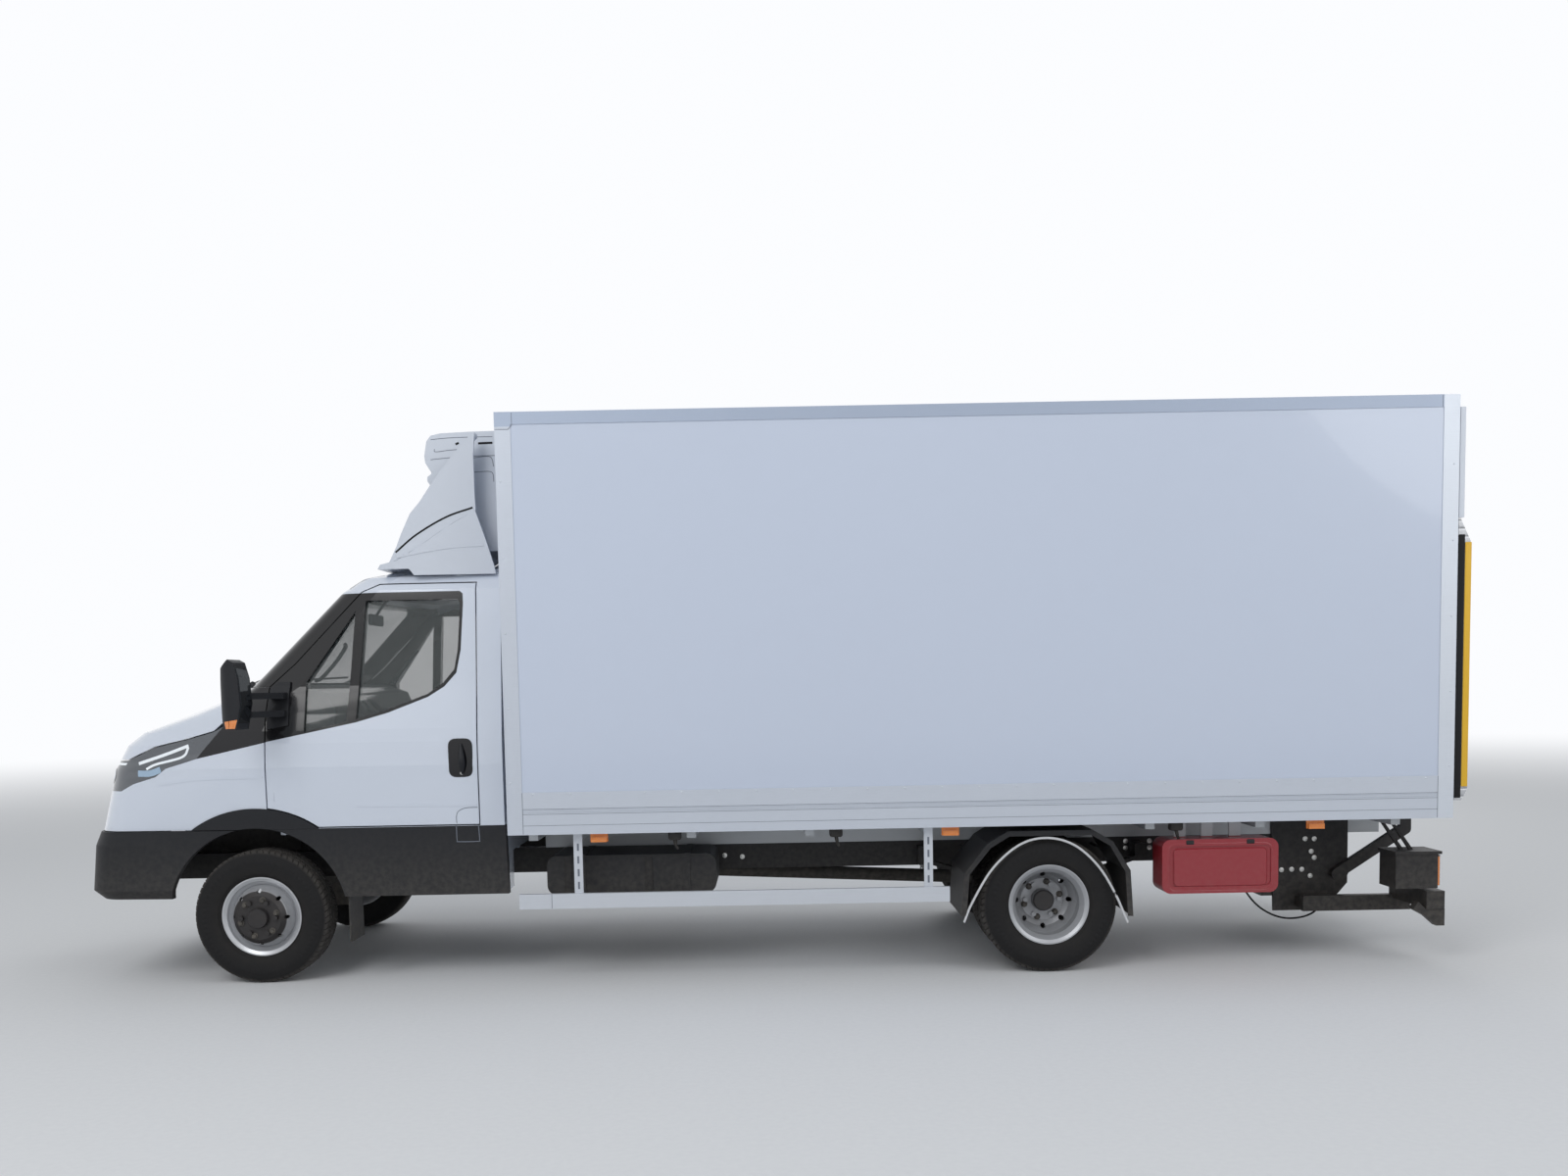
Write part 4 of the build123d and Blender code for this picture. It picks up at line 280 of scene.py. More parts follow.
@dataclass(frozen=True)
class Drawn(Finish):
    """Extruded or rolled metal: fine lines that run along the truck, as the die leaves them."""

    lines: float = 900.0

    def surface(self, tree: Tree) -> tuple[Link, Link]:
        """The solid finish, with streaks stretched along X in its roughness and colour."""
        colour, roughness = super().surface(tree)
        streak = tree.noise(tree.place(ALONG), self.lines, 3.0)
        patch = tree.noise(tree.place(), 6.0, 3.0)
        colour = tree.mix(colour, shade(self.colour, 0.8), streak.ramp(0.45, 0.8) * 0.35)
        return colour, roughness + streak * 0.16 + patch * 0.08 - 0.12

    def relief(self, tree: Tree) -> Link | None:
        """The streaks as a shallow bump."""
        return tree.bump(tree.noise(tree.place(ALONG), self.lines, 2.0), 0.00006)


@dataclass(frozen=True)
class Masked(Finish):
    """Body paint with a gloss black area, which is a convex outline of places in the side view."""

    area: Line = ()
    second: Colour = (0.010, 0.010, 0.011)

    def surface(self, tree: Tree) -> tuple[Link, Link]:
        """Black takes over from the paint inside the area."""
        colour, roughness = super().surface(tree)
        inside = self._inside(tree)
        return tree.mix(colour, self.second, inside), roughness - inside * 0.1

    def lacquer(self, tree: Tree) -> Link | float:
        """Less clear coat on the black."""
        return self._inside(tree) * -0.8 + self.coat

    def _inside(self, tree: Tree) -> Link:
        """One where a point's smallest distance to the area's edges, counted inwards, is above zero."""
        x, _, z = tree.axes()
        nearest = z * 0.0 + 9.0
        middle = np.mean(self.area, axis=0)
        for (along, height), (next_along, next_height) in zip(self.area, self.area[1:] + self.area[:1]):
            length = math.hypot(next_along - along, next_height - height)
            inward = ((height - next_height) / length, (next_along - along) / length)
            if inward[0] * (middle[0] - along) + inward[1] * (middle[1] - height) < 0:
                inward = (-inward[0], -inward[1])
            nearest = nearest.least((behind(along) - x) * inward[0] + (z - height) * inward[1])
        return nearest.ramp(0.0, 0.003)


@dataclass(frozen=True)
class Panel(Finish):
    """A glassfibre side panel: gloss gel coat over a faint weave and the long waves of a flat sheet."""

    def relief(self, tree: Tree) -> Link | None:
        """Waves a metre long, a few tenths of a millimetre high, and a weave under the gel coat."""
        waves = tree.noise(tree.place(), 1.3, 1.0) * 6.0
        weave = tree.noise(tree.place(), 160.0, 2.0) * 0.02
        return tree.bump(waves + weave, 0.0004)


@dataclass(frozen=True)
class Wheel(Finish):
    """A painted steel wheel that is dark inside a radius and silver outside it, with brake dust between."""

    inner: Colour = (0.03, 0.03, 0.032)
    brake_dust: Colour = (0.06, 0.05, 0.045)
    edge: float = 0.148
    axle: float = 0.0

    def surface(self, tree: Tree) -> tuple[Link, Link]:
        """The distance from the axle chooses between the two paints."""
        colour, roughness = super().surface(tree)
        radius = tree.radius(self.axle)
        inside = radius.ramp(self.edge - 0.004, self.edge + 0.004, 1.0, 0.0)
        soot = radius.ramp(0.13, 0.2, 0.5, 0.0) * tree.noise(tree.place(), 26.0, 4.0)
        return tree.mix(tree.mix(colour, self.inner, inside), self.brake_dust, soot), roughness + soot * 0.3


@dataclass(frozen=True)
class Rubber(Finish):
    """Tyre rubber: dull black with dust in the tread and a brown bloom on the sidewall."""

    axle: float = 0.0
    trodden: Colour = (0.13, 0.12, 0.11)
    brown: Colour = (0.085, 0.075, 0.062)

    def surface(self, tree: Tree) -> tuple[Link, Link]:
        """Dust grows with the distance from the axle, so the tread is greyer than the sidewall."""
        colour, roughness = super().surface(tree)
        radius = tree.radius(self.axle)
        cloud = tree.noise(tree.place(), 22.0, 4.0)
        tread = radius.ramp(0.345, 0.368) * cloud.ramp(0.2, 0.8, 0.25, 0.6)
        bloom = radius.ramp(0.22, 0.3, 0.18, 0.05) * cloud
        return tree.mix(tree.mix(colour, self.trodden, tread), self.brown, bloom), roughness + tread * 0.1


@dataclass(frozen=True)
class Cloth(Finish):
    """Seat cloth: a plain weave of crossing threads with a soft nap."""

    threads: float = 520.0

    def surface(self, tree: Tree) -> tuple[Link, Link]:
        """Crossing sine waves lighten the raised threads."""
        colour, roughness = super().surface(tree)
        return tree.mix(colour, shade(self.colour, 1.9), self._weave(tree).ramp(0.2, 1.6) * 0.6), roughness

    def relief(self, tree: Tree) -> Link | None:
        """The weave as bump."""
        return tree.bump(self._weave(tree), 0.0004)

    def _weave(self, tree: Tree) -> Link:
        """Product of two thread waves, one across and one up and along the piece."""
        x, y, z = tree.axes()
        wave = self.threads * math.pi
        return (y * wave).sine() * ((x + z * 0.7) * wave).sine() + 1.0


@dataclass(frozen=True)
class Clear(Finish):
    """Glazing or a lamp lens: see-through straight on and more of a mirror at a slant."""

    alpha: float = 0.25

    def material(self) -> bpy.types.Material:
        """Alpha grows with the slant, by the facing of the surface."""
        tree = Tree(self.name)
        slant = tree.node("LayerWeight", {}, {"Blend": 0.35}, "Facing")
        smear = tree.noise(tree.place((1.0, 1.0, 0.4)), 9.0, 3.0)
        return tree.finish(
            Base_Color=tree.mix(self.colour, shade(self.colour, 1.25), smear),
            Roughness=smear * 0.03 + self.roughness,
            Alpha=slant * slant * (0.9 - self.alpha) + smear * 0.04 + self.alpha,
            Specular_IOR_Level=0.9,
            Coat_Weight=self.coat,
            Coat_Roughness=0.02,
        )


@dataclass(frozen=True)
class Lens(Finish):
    """A coloured lamp lens with the small prisms moulded on its inside."""

    glow: float = 0.0
    pitch: float = 0.006

    def material(self) -> bpy.types.Material:
        """Ribs of light and shade at the prisms' pitch, with a trace of glow."""
        tree = Tree(self.name)
        x, y, z = tree.axes()
        wave = math.tau / self.pitch
        ribs = ((x + y) * wave).sine() * (z * wave).sine()
        return tree.finish(
            Base_Color=tree.mix(self.colour, shade(self.colour, 0.55), ribs.ramp(-1.0, 1.0)),
            Roughness=self.roughness,
            Normal=tree.bump(ribs, 0.0006),
            Coat_Weight=1.0,
            Coat_Roughness=0.03,
            Emission_Color=self.colour,
            Emission_Strength=self.glow,
        )


@dataclass(frozen=True)
class Ribbed(Finish):
    """Platform sheet: aluminium with close ribs across it and scuffs from wheels and feet."""

    pitch: float = 0.042
    scuffed: Colour = (0.75, 0.76, 0.77)

    def surface(self, tree: Tree) -> tuple[Link, Link]:
        """Scuffs brighten the ribs' tops, and painted shade darkens the valleys."""
        colour, roughness = super().surface(tree)
        scuff = tree.noise(tree.place((3.0, 1.0, 1.0)), 30.0, 5.0).ramp(0.5, 0.75)
        # Painted shade in the narrow valleys between the ribs.
        colour = tree.mix(colour, shade(self.colour, 0.45), self._ribs(tree).ramp(0.75, 1.0))
        return tree.mix(colour, self.scuffed, scuff * 0.3), roughness + scuff * 0.15

    def relief(self, tree: Tree) -> Link | None:
        """The ribs as bump."""
        return tree.bump(self._ribs(tree) * -1.0, 0.002)

    def _ribs(self, tree: Tree) -> Link:
        """One narrow valley a pitch, across the height of the stowed platform."""
        z = tree.axes()[2]
        return ((z * (math.tau / self.pitch)).sine() * 0.5 + 0.5).power(4.0)


DOOR_BLACK: Line = (
    (0.073, 1.338), (0.575, 1.438), (0.753, 1.488), (0.972, 1.570), (1.062, 1.625), (1.130, 1.700),
    (1.155, 1.825), (1.170, 2.080), (1.168, 2.135), (1.150, 2.150), (0.073, 2.150),
)  # fmt: skip
PILLAR_BLACK: Line = ((-0.4, 1.60), (0.62, 1.60), (0.62, 2.15), (-0.4, 2.15))
# White paint, darkened and tinted blue part of the way to how it looks in shade under a blue sky: partly painted shade.
WHITE: Colour = (0.60, 0.65, 0.74)
BLACK: Colour = (0.014, 0.014, 0.015)
RED: Colour = (0.27, 0.008, 0.018)
PAINT: dict[str, float] = {"roughness": 0.22, "coat": 1.0, "mottle": 0.012, "dust": 0.16, "dust_top": 1.15}
SPATTERED: dict[str, float] = {"specular": 0.25, "dust": 0.22, "dust_top": 0.95}
CASE: dict[str, float] = {"mottle": 0.08, "grain": 0.0002, "grain_scale": 260.0}
TYRE: dict[str, float] = {"roughness": 0.8, "specular": 0.2, "mottle": 0.2, "grain": 0.0003, "grain_scale": 400.0}


class Look(Enum):
    """Every finish of the truck."""

    CAB_WHITE = Finish("cab white paint", WHITE, **PAINT)
    DOOR_WHITE = Masked("cab door paint", WHITE, specular=0.35, area=DOOR_BLACK, **PAINT)
    SHELL_WHITE = Masked("cab shell paint", WHITE, specular=0.35, area=PILLAR_BLACK, **PAINT)
    # The box panels' white gel coat, darkened and tinted blue in the same way: partly painted shade.
    GEL_PANEL = Panel("gel coat panel", (0.53, 0.59, 0.71), 0.16, coat=0.6, mottle=0.012, mottle_scale=0.8)
    MOULDING = Finish(
        "white moulding", (0.58, 0.62, 0.69), 0.3, coat=0.3, mottle=0.02, grain=0.0001, grain_scale=120.0
    )
    ALUMINIUM = Drawn("extruded aluminium", (0.60, 0.64, 0.70), 0.42, metallic=0.45, mottle=0.04)
    SKIRT = Drawn("painted skirt rail", (0.58, 0.61, 0.66), 0.4, metallic=0.25, mottle=0.03)
    EDGES = Drawn(
        "box edge profiles", (0.54, 0.58, 0.65), 0.4, metallic=0.2, mottle=0.03, upper=(0.36, 0.42, 0.53), split=2.985
    )
    # Dark strips laid along grooves, slots, seams and joints: painted shade.
    SEAM = Finish("seam shadow", (0.16, 0.18, 0.22), 0.6, mottle=0.1)
    SMOKED = Clear("headlamp lens", (0.05, 0.06, 0.075), 0.03, coat=1.0, alpha=0.86)
    PROJECTOR = Finish(
        "projector glass", (0.30, 0.42, 0.55), 0.06, metallic=0.6, coat=1.0, mottle=0.1, mottle_scale=30.0
    )
    ZINC = Finish("zinc grey paint", (0.43, 0.45, 0.47), 0.42, metallic=0.3, mottle=0.1, mottle_scale=9.0, dust=0.3)
    BLACK_STEEL = Finish("black chassis paint", (0.014, 0.014, 0.016), 0.45, mottle=0.25, **SPATTERED)
    CAST = Finish(
        "cast iron",
        (0.045, 0.044, 0.043),
        0.72,
        specular=0.3,
        metallic=0.3,
        mottle=0.3,
        grain=0.0008,
        grain_scale=220.0,
        dust=0.4,
    )
    GRAINED = Finish(
        "grained black plastic", (0.014, 0.015, 0.018), 0.5, mottle=0.12, grain=0.00025, grain_scale=700.0, **SPATTERED
    )
    GLOSS_BLACK = Finish("gloss black", (0.006, 0.006, 0.008), 0.12, coat=0.3, mottle=0.1, specular=0.3)
    CABIN = Finish(
        "cabin plastic", (0.040, 0.044, 0.050), 0.6, specular=0.3, mottle=0.1, grain=0.0003, grain_scale=600.0
    )
    SEAT = Cloth("seat cloth", (0.050, 0.052, 0.058), 0.9)
    GLAZING = Clear("window glass", (0.05, 0.065, 0.065), 0.02, coat=1.0, alpha=0.26)
    CHROME = Finish("bright reflector", (0.82, 0.84, 0.86), 0.08, metallic=1.0, mottle=0.02)
    MIRROR_GLASS = Finish("mirror glass", (0.26, 0.29, 0.32), 0.06, metallic=1.0, mottle=0.04)
    LIGHT_GUIDE = Lens("light guide", (0.85, 0.9, 0.95), 0.15, glow=0.35, pitch=0.004)
    AMBER = Lens("amber lens", (0.85, 0.24, 0.02), 0.12, glow=0.12)
    RED_LENS = Lens("red lens", (0.5, 0.012, 0.01), 0.12, glow=0.05)
    CLEAR_LENS = Lens("clear ribbed lens", (0.62, 0.64, 0.66), 0.1, glow=0.05)
    RED_CASE = Finish("red case", RED, 0.34, coat=0.4, dust=0.12, upper=(0.50, 0.52, 0.54), split=0.722, **CASE)
    RED_LID = Finish("red lid", RED, 0.3, coat=0.5, dust=0.1, **CASE)
    SILVER_FRONT = Wheel("front wheel paint", (0.50, 0.51, 0.53), 0.34, metallic=0.5, mottle=0.06)
    SILVER_REAR = Wheel(
        "rear wheel paint", (0.40, 0.41, 0.43), 0.4, metallic=0.45, mottle=0.1, edge=0.06, axle=WHEELBASE
    )
    FRONT_RUBBER = Rubber("front tyre rubber", BLACK, **TYRE)
    REAR_RUBBER = Rubber("rear tyre rubber", BLACK, axle=WHEELBASE, **TYRE)
    SOFT_RUBBER = Finish(
        "seal rubber", (0.012, 0.012, 0.013), 0.7, specular=0.2, mottle=0.15, grain=0.0002, grain_scale=500.0
    )
    PLATFORM = Ribbed("platform sheet", (0.46, 0.47, 0.49), 0.4, metallic=0.6, mottle=0.08)
    YELLOW = Finish("yellow edge strip", (0.72, 0.42, 0.02), 0.45, mottle=0.07)
    BRIGHT_BOLT = Finish("zinc plated bolt", (0.58, 0.58, 0.56), 0.32, metallic=0.9, mottle=0.12, mottle_scale=40.0)
    PALE_TRIM = Finish("pale edge trim", (0.62, 0.63, 0.65), 0.4, mottle=0.06)

    @property
    def material(self) -> bpy.types.Material:
        """The finish's material, made when first asked for."""
        return bpy.data.materials.get(self.value.name) or self.value.material()


# Surfaces

SHARP_FROM = math.radians(35.0)
STEEP = 0.9
SQUARENESS = 0.42
CHANNEL_WIDTH = 0.035
CHANNEL_DEPTH = 0.012
BOLT: Spot = (0.010, 0.008)


@dataclass
class Patchwork:
    """Patches of surface gathered into one piece."""

    name: str
    points: list[Array] = field(default_factory=list)
    faces: list[list[int]] = field(default_factory=list)
    looks: list[Look] = field(default_factory=list)
    slots: list[int] = field(default_factory=list)
    look: Look = Look.BLACK_STEEL
    count: int = 0

    def paint(self, look: Look) -> "Patchwork":
        """Patches from here on take this finish."""
        self.look = look
        return self

    def grid(self, points: Array, close_rows: bool = False, close_columns: bool = False, caps: bool = False) -> None:
        """Adds a grid of points as quads.

        Args:
            points: rows by columns by 3.
            close_rows: joins the last row to the first.
            close_columns: joins the last column to the first.
            caps: closes the first and last rows with one face each.
        """
        rows, columns = points.shape[:2]
        index = np.arange(rows * columns).reshape(rows, columns) + self.count
        right = np.roll(index, -1, 1)
        quads = np.stack([index, right, np.roll(right, -1, 0), np.roll(index, -1, 0)], -1)
        faces = quads[: rows - (not close_rows), : columns - (not close_columns)].reshape(-1, 4).tolist()
        if caps:
            faces += [index[0, ::-1].tolist(), index[-1].tolist()]
        if self.look not in self.looks:
            self.looks.append(self.look)
        self.points.append(points.reshape(-1, 3))
        self.faces += faces
        self.slots += [self.looks.index(self.look)] * len(faces)
        self.count += rows * columns

    def lathe(self, profile: Array | list[Spot] | Line, centre: Place | Array, axis: Place, steps: int) -> None:
        """Turns a profile of (distance along the axis, radius) about an axis through centre.

        The surface is centre + along * axis + radius * (cos a * side + sin a * other) for the angle a.
        """
        ring = circle(*sides_of(axis), steps)
        along = np.asarray(profile, float)
        points = np.asarray(centre) + along[:, None, 0:1] * np.asarray(axis) + along[:, None, 1:2] * ring[None]
        self.grid(points, close_columns=True, caps=True)

    def tube(self, path: Array | list[Place], radius: float | Array, steps: int = 10, closed: bool = False) -> None:
        """A round tube along a path: each ring lies square to the path's direction there."""
        path = np.asarray(path, float)
        ahead = np.roll(path, -1, 0) - np.roll(path, 1, 0) if closed else np.gradient(path, axis=0)
        ahead = unit(ahead)
        up = np.where(np.abs(ahead[:, 2:3]) > STEEP, np.array([[1.0, 0, 0]]), np.array([[0, 0, 1.0]]))
        side = unit(np.cross(ahead, up))
        ring = circle(np.cross(side, ahead), side, steps)
        width = np.broadcast_to(np.asarray(radius, float), (len(path),))
        self.grid(path[:, None] + width[:, None, None] * ring, close_rows=closed, close_columns=True, caps=not closed)

    def plate(self, shape: Array, origin: Place, across: Place, up: Place, thickness: float, bevel: float) -> None:
        """A flat outline given a thickness and bevelled edges.

        Each ring of the surface is the outline drawn in by an inset along its own corners' bisectors.

        Args:
            shape: outline corners (across, up), anticlockwise seen against the normal.
            origin: where (0, 0) of the outline lies, on the back face.
            across: unit direction of the outline's first number.
            up: unit direction of its second number.
            thickness: how far the front face stands off.
            bevel: width of the edge bevel.
        """
        outline = np.asarray(shape, float)
        e1, e2 = np.asarray(across, float), np.asarray(up, float)
        normal = np.cross(e1, e2)
        inner = inset(outline, bevel)
        levels = [(inner, 0.0), (outline, bevel), (outline, thickness - bevel), (inner, thickness)]
        rings = [np.asarray(origin) + ring[:, :1] * e1 + ring[:, 1:] * e2 + height * normal for ring, height in levels]
        self.grid(np.array(rings), close_columns=True, caps=True)

    def block(self, along: Spot, across: Spot, height: Spot, sign: int, radius: float, steps: int = 3) -> None:
        """A block with rounded edges: each point of a sphere of that radius is pushed out to its own corner.

        Args:
            along: its two ends, as distances behind the front axle.
            across: its two sides, as distances from the middle plane.
            height: its bottom and top.
            sign: 1 for the left side, -1 for the right.
            radius: of the edges, no more than the block allows.
            steps: facets of a quarter turn.
        """
        lows, highs = np.sort([[behind(u) for u in along], [sign * y for y in across], height]).T
        half = (highs - lows) / 2
        radius = min(radius, *(half * 0.98))
        quarter = np.linspace(0, math.pi / 2, steps + 1)
        turn = np.concatenate([quarter + index * math.pi / 2 for index in range(4)])
        tilt = np.concatenate([quarter - math.pi / 2, quarter])[:, None]
        ball = [np.cos(tilt) * np.cos(turn), np.cos(tilt) * np.sin(turn), np.sin(tilt) * np.ones_like(turn)]
        corner_x, corner_y = np.repeat([[1, -1, -1, 1], [1, 1, -1, -1]], steps + 1, 1)
        corner_z = np.repeat([-1, 1], steps + 1)[:, None]
        corners = np.stack(np.broadcast_arrays(corner_x, corner_y, corner_z), -1)
        points = (lows + highs) / 2 + corners * (half - radius) + radius * np.stack(ball, -1)
        self.grid(points, close_columns=True, caps=True)

    def skin(self, sheet: Array, thickness: float, sign: int, axis: int = 1) -> None:
        """A closed sheet: a grid of points, the same grid a thickness further out along the axis, and the rim."""
        outer = sheet + np.eye(3)[axis] * sign * thickness
        self.grid(np.concatenate([sheet, outer[:, ::-1]], 1), close_columns=True, caps=True)

    def stripe(
        self,
        path: Line | list[Spot],
        width: float,
        sign: int,
        nodes: str,
        sunk: float = 0.0004,
        thick: float = 0.001,
        steps: int = 6,
        columns: int = 3,
    ) -> None:
        """A closed strip along a path of the side view, laid on CAD nodes.

        Args:
            path: places of the side view.
            width: of the strip.
            sign: 1 for the left side, -1 for the right.
            nodes: names of the CAD nodes that it lies on.
            sunk: how deep its inner face lies under their surface.
            thick: distance between its two faces.
            steps: points on each stretch of the path.
            columns: points across it.
        """
        self.skin(laid(ribbon(path, width, sign, steps, columns), nodes, sign, -sunk), thick, sign)

    def rivets(self, places: Array | list[Place], axis: Place, radius: float = 0.0055) -> None:
        """Dome heads: quarter circles turned about their axis."""
        turn = np.linspace(0, math.pi / 2 - 0.1, 4)
        dome = np.stack([np.sin(turn) * radius * 0.5, np.cos(turn) * radius], 1)
        for place in np.asarray(places):
            self.lathe(dome, place, axis, 10)

    def bolts(self, places: Array, axis: Place, radius: float, height: float) -> None:
        """Hexagon bolts with washers at several places, all facing one way."""
        foot, rim, washer = height * 0.25, radius * 1.45, radius * 1.3
        for place in places:
            self.lathe([(0, rim), (foot, rim), (height * 0.3, washer)], place, axis, 16)
            self.lathe([(foot, radius), (height * 0.9, radius), (height, radius * 0.8)], place, axis, 6)

    def cushion(
        self, centre: Place, along: Place, normal: Place, half: Place, channels: tuple[float, ...], crown: float = 0.3
    ) -> None:
        """A padded block with crowned faces and sewn channels.

        Its section across Y is the curve |x/a|^p + |z/b|^p = 1, where p is two over the squareness. The section
        shrinks towards both ends as the fourth root of 1 - t^6, its faces swell by the crown times (1 - t^2)(1 - s^2),
        and each channel presses a narrow bell shape into the front face.

        Args:
            centre: middle of the block.
            along: unit direction of the section's long axis.
            normal: unit direction out of its front face.
            half: half length, half width along Y and half thickness.
            channels: places of the channels, as shares of the half width.
            crown: swelling of the faces as a share of the half thickness.
        """
        share = np.sin(np.linspace(-math.pi / 2, math.pi / 2, 61))[:, None]
        turn = np.linspace(0, math.tau, 72, endpoint=False)[None]
        long, thick = np.cos(turn), np.sin(turn)
        long, thick = (np.sign(part) * np.abs(part) ** SQUARENESS for part in (long, thick))
        size = np.maximum(1 - share**6, 0.0) ** 0.25 * 0.97 + 0.03
        swell = 1 - crown + crown * (1 - share**2) * (1 - long**2)
        bell = sum(np.exp(-(((share - place) / CHANNEL_WIDTH) ** 2)) for place in channels)
        press = np.clip(thick, 0, 1) * CHANNEL_DEPTH * bell
        pull = 1 - 0.05 * (1 - np.abs(long)) * share**4
        points = (
            np.asarray(centre)
            + (long * size * half[0])[..., None] * np.asarray(along, float)
            + (share * pull * half[1])[..., None] * np.array([0.0, 1.0, 0.0])
            + (thick * size * swell * half[2] - press)[..., None] * np.asarray(normal, float)
        )
        self.grid(points, close_columns=True, caps=True)

    def build(self, body: str, slot: str) -> bpy.types.Object:
        """Makes the mesh with its finishes, and rides it on a body.

        Args:
            body: the CAD body it moves with.
            slot: the record's material slot; not used.

        Returns:
            The object.
        """
        mesh = bpy.data.meshes.new(self.name)
        mesh.from_pydata(np.concatenate(self.points), [], self.faces)
        for look in self.looks:
            mesh.materials.append(look.material)
        mesh.polygons.foreach_set("material_index", self.slots)
        mesh.polygons.foreach_set("use_smooth", [True] * len(mesh.polygons))
        made = placed(self.name, mesh)
        mesh.update()
        mesh.set_sharp_from_angle(angle=SHARP_FROM)
        outward(made)
        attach(made, body)
        LOG.info("%s: %d faces on %s", self.name, len(mesh.polygons), body)
        return made


def unit(vectors: Array) -> Array:
    """Vectors of any number brought to the length of one."""
    return vectors / np.linalg.norm(vectors, axis=-1, keepdims=True)


def circle(side: Array, other: Array, steps: int) -> Array:
    """Points cos a * side + sin a * other for the angles a of a whole turn, one row for each pair of directions."""
    angle = np.linspace(0, math.tau, steps, endpoint=False)[:, None]
    return np.cos(angle) * side[..., None, :] + np.sin(angle) * other[..., None, :]


def sides_of(axis: Place) -> tuple[Array, Array]:
    """Two directions square to an axis and to each other, the first of them a unit long."""
    ahead = np.asarray(axis, float)
    rough = np.array([0.0, 0.0, 1.0]) if abs(ahead[2]) < STEEP else np.array([1.0, 0.0, 0.0])
    side = unit(np.cross(rough, ahead))
    return side, np.cross(ahead, side)


def inset(outline: Array, distance: float) -> Array:
    """An anticlockwise outline drawn in by a distance along the bisector of each corner."""
    before = unit(outline - np.roll(outline, 1, 0))
    after = unit(np.roll(outline, -1, 0) - outline)
    inward = np.stack([-(before[:, 1] + after[:, 1]), before[:, 0] + after[:, 0]], 1)
    length = np.linalg.norm(inward, axis=1, keepdims=True)
    return outline + inward / np.maximum(length * length / 2, 0.4) * distance


def oblong(left: float, right: float, low: float, high: float) -> list[Spot]:
    """The four corners of a rectangle."""
    return [(left, low), (right, low), (right, high), (left, high)]


def rounded(corners: list[Spot], radius: float, steps: int) -> Array:
    """An outline with each corner turned into an arc: a quadratic curve between two points a radius from the corner."""
    points = np.asarray(corners, float)
    before = np.roll(points, 1, 0) - points
    after = np.roll(points, -1, 0) - points
    before *= radius / np.maximum(np.linalg.norm(before, axis=1, keepdims=True), 2 * radius)
    after *= radius / np.maximum(np.linalg.norm(after, axis=1, keepdims=True), 2 * radius)
    t = np.linspace(0, 1, steps + 1)[None, :, None]
    start, middle, end = (points + before)[:, None], points[:, None], (points + after)[:, None]
    return (start * (1 - t) ** 2 + 2 * middle * t * (1 - t) + end * t**2).reshape(-1, 2)


def curve(points: tuple[tuple[float, ...], ...] | list[Place], steps: int = 8) -> Array:
    """A smooth line through points: the Catmull-Rom cubic between each pair, sampled evenly."""
    p = np.asarray(points, float)
    p = np.concatenate([2 * p[:1] - p[1:2], p, 2 * p[-1:] - p[-2:-1]])
    t = np.linspace(0, 1, steps, endpoint=False)[None, :, None]
    a, b, c, d = p[:-3, None], p[1:-2, None], p[2:-1, None], p[3:, None]
    line = 0.5 * (2 * b + (c - a) * t + (2 * a - 5 * b + 4 * c - d) * t**2 + (3 * b - a - 3 * c + d) * t**3)
    return np.concatenate([line.reshape(-1, p.shape[1]), p[-2:-1]])


def placed(name: str, data: bpy.types.ID) -> bpy.types.Object:
    """An object of this data, in the scene."""
    made = bpy.data.objects.new(name, data)
    bpy.context.scene.collection.objects.link(made)
    return made


def outward(made: bpy.types.Object) -> None:
    """Turns every face of a closed piece to look outwards."""
    work = bmesh.new()
    work.from_mesh(made.data)
    bmesh.ops.recalc_face_normals(work, faces=work.faces)
    work.to_mesh(made.data)
    work.free()


# How far out sheets start, and how far they may be carried to a surface.
START_Y = 1.4
CARRY = 1.2


def side_view(spots: Array | Line | list[Spot], sign: int) -> Array:
    """Places of the side view, as (behind the front axle, height), set out well outside one side."""
    flat = np.asarray(spots, float)
    return np.stack([behind(flat[..., 0]), np.full(flat.shape[:-1], sign * START_Y), flat[..., 1]], -1)


def ribbon(path: Line | list[Spot], width: float, sign: int, steps: int, columns: int) -> Array:
    """A strip of the side view: a smooth line with points set across it, square to its direction."""
    line = curve(path, steps)
    ahead = unit(np.gradient(line, axis=0))
    square = np.stack([-ahead[:, 1], ahead[:, 0]], 1)
    across = np.linspace(-width / 2, width / 2, columns)
    return side_view(line[:, None] + across[None, :, None] * square[:, None], sign)


def between(lower: Line, upper: Line, sign: int) -> Array:
    """A strip of the side view between two lines: lower + share * (upper - lower)."""
    low, high = curve(lower), curve(upper)
    share = np.linspace(0, 1, 5)[None, :, None]
    return side_view(low[:, None] + (high - low)[:, None] * share, sign)


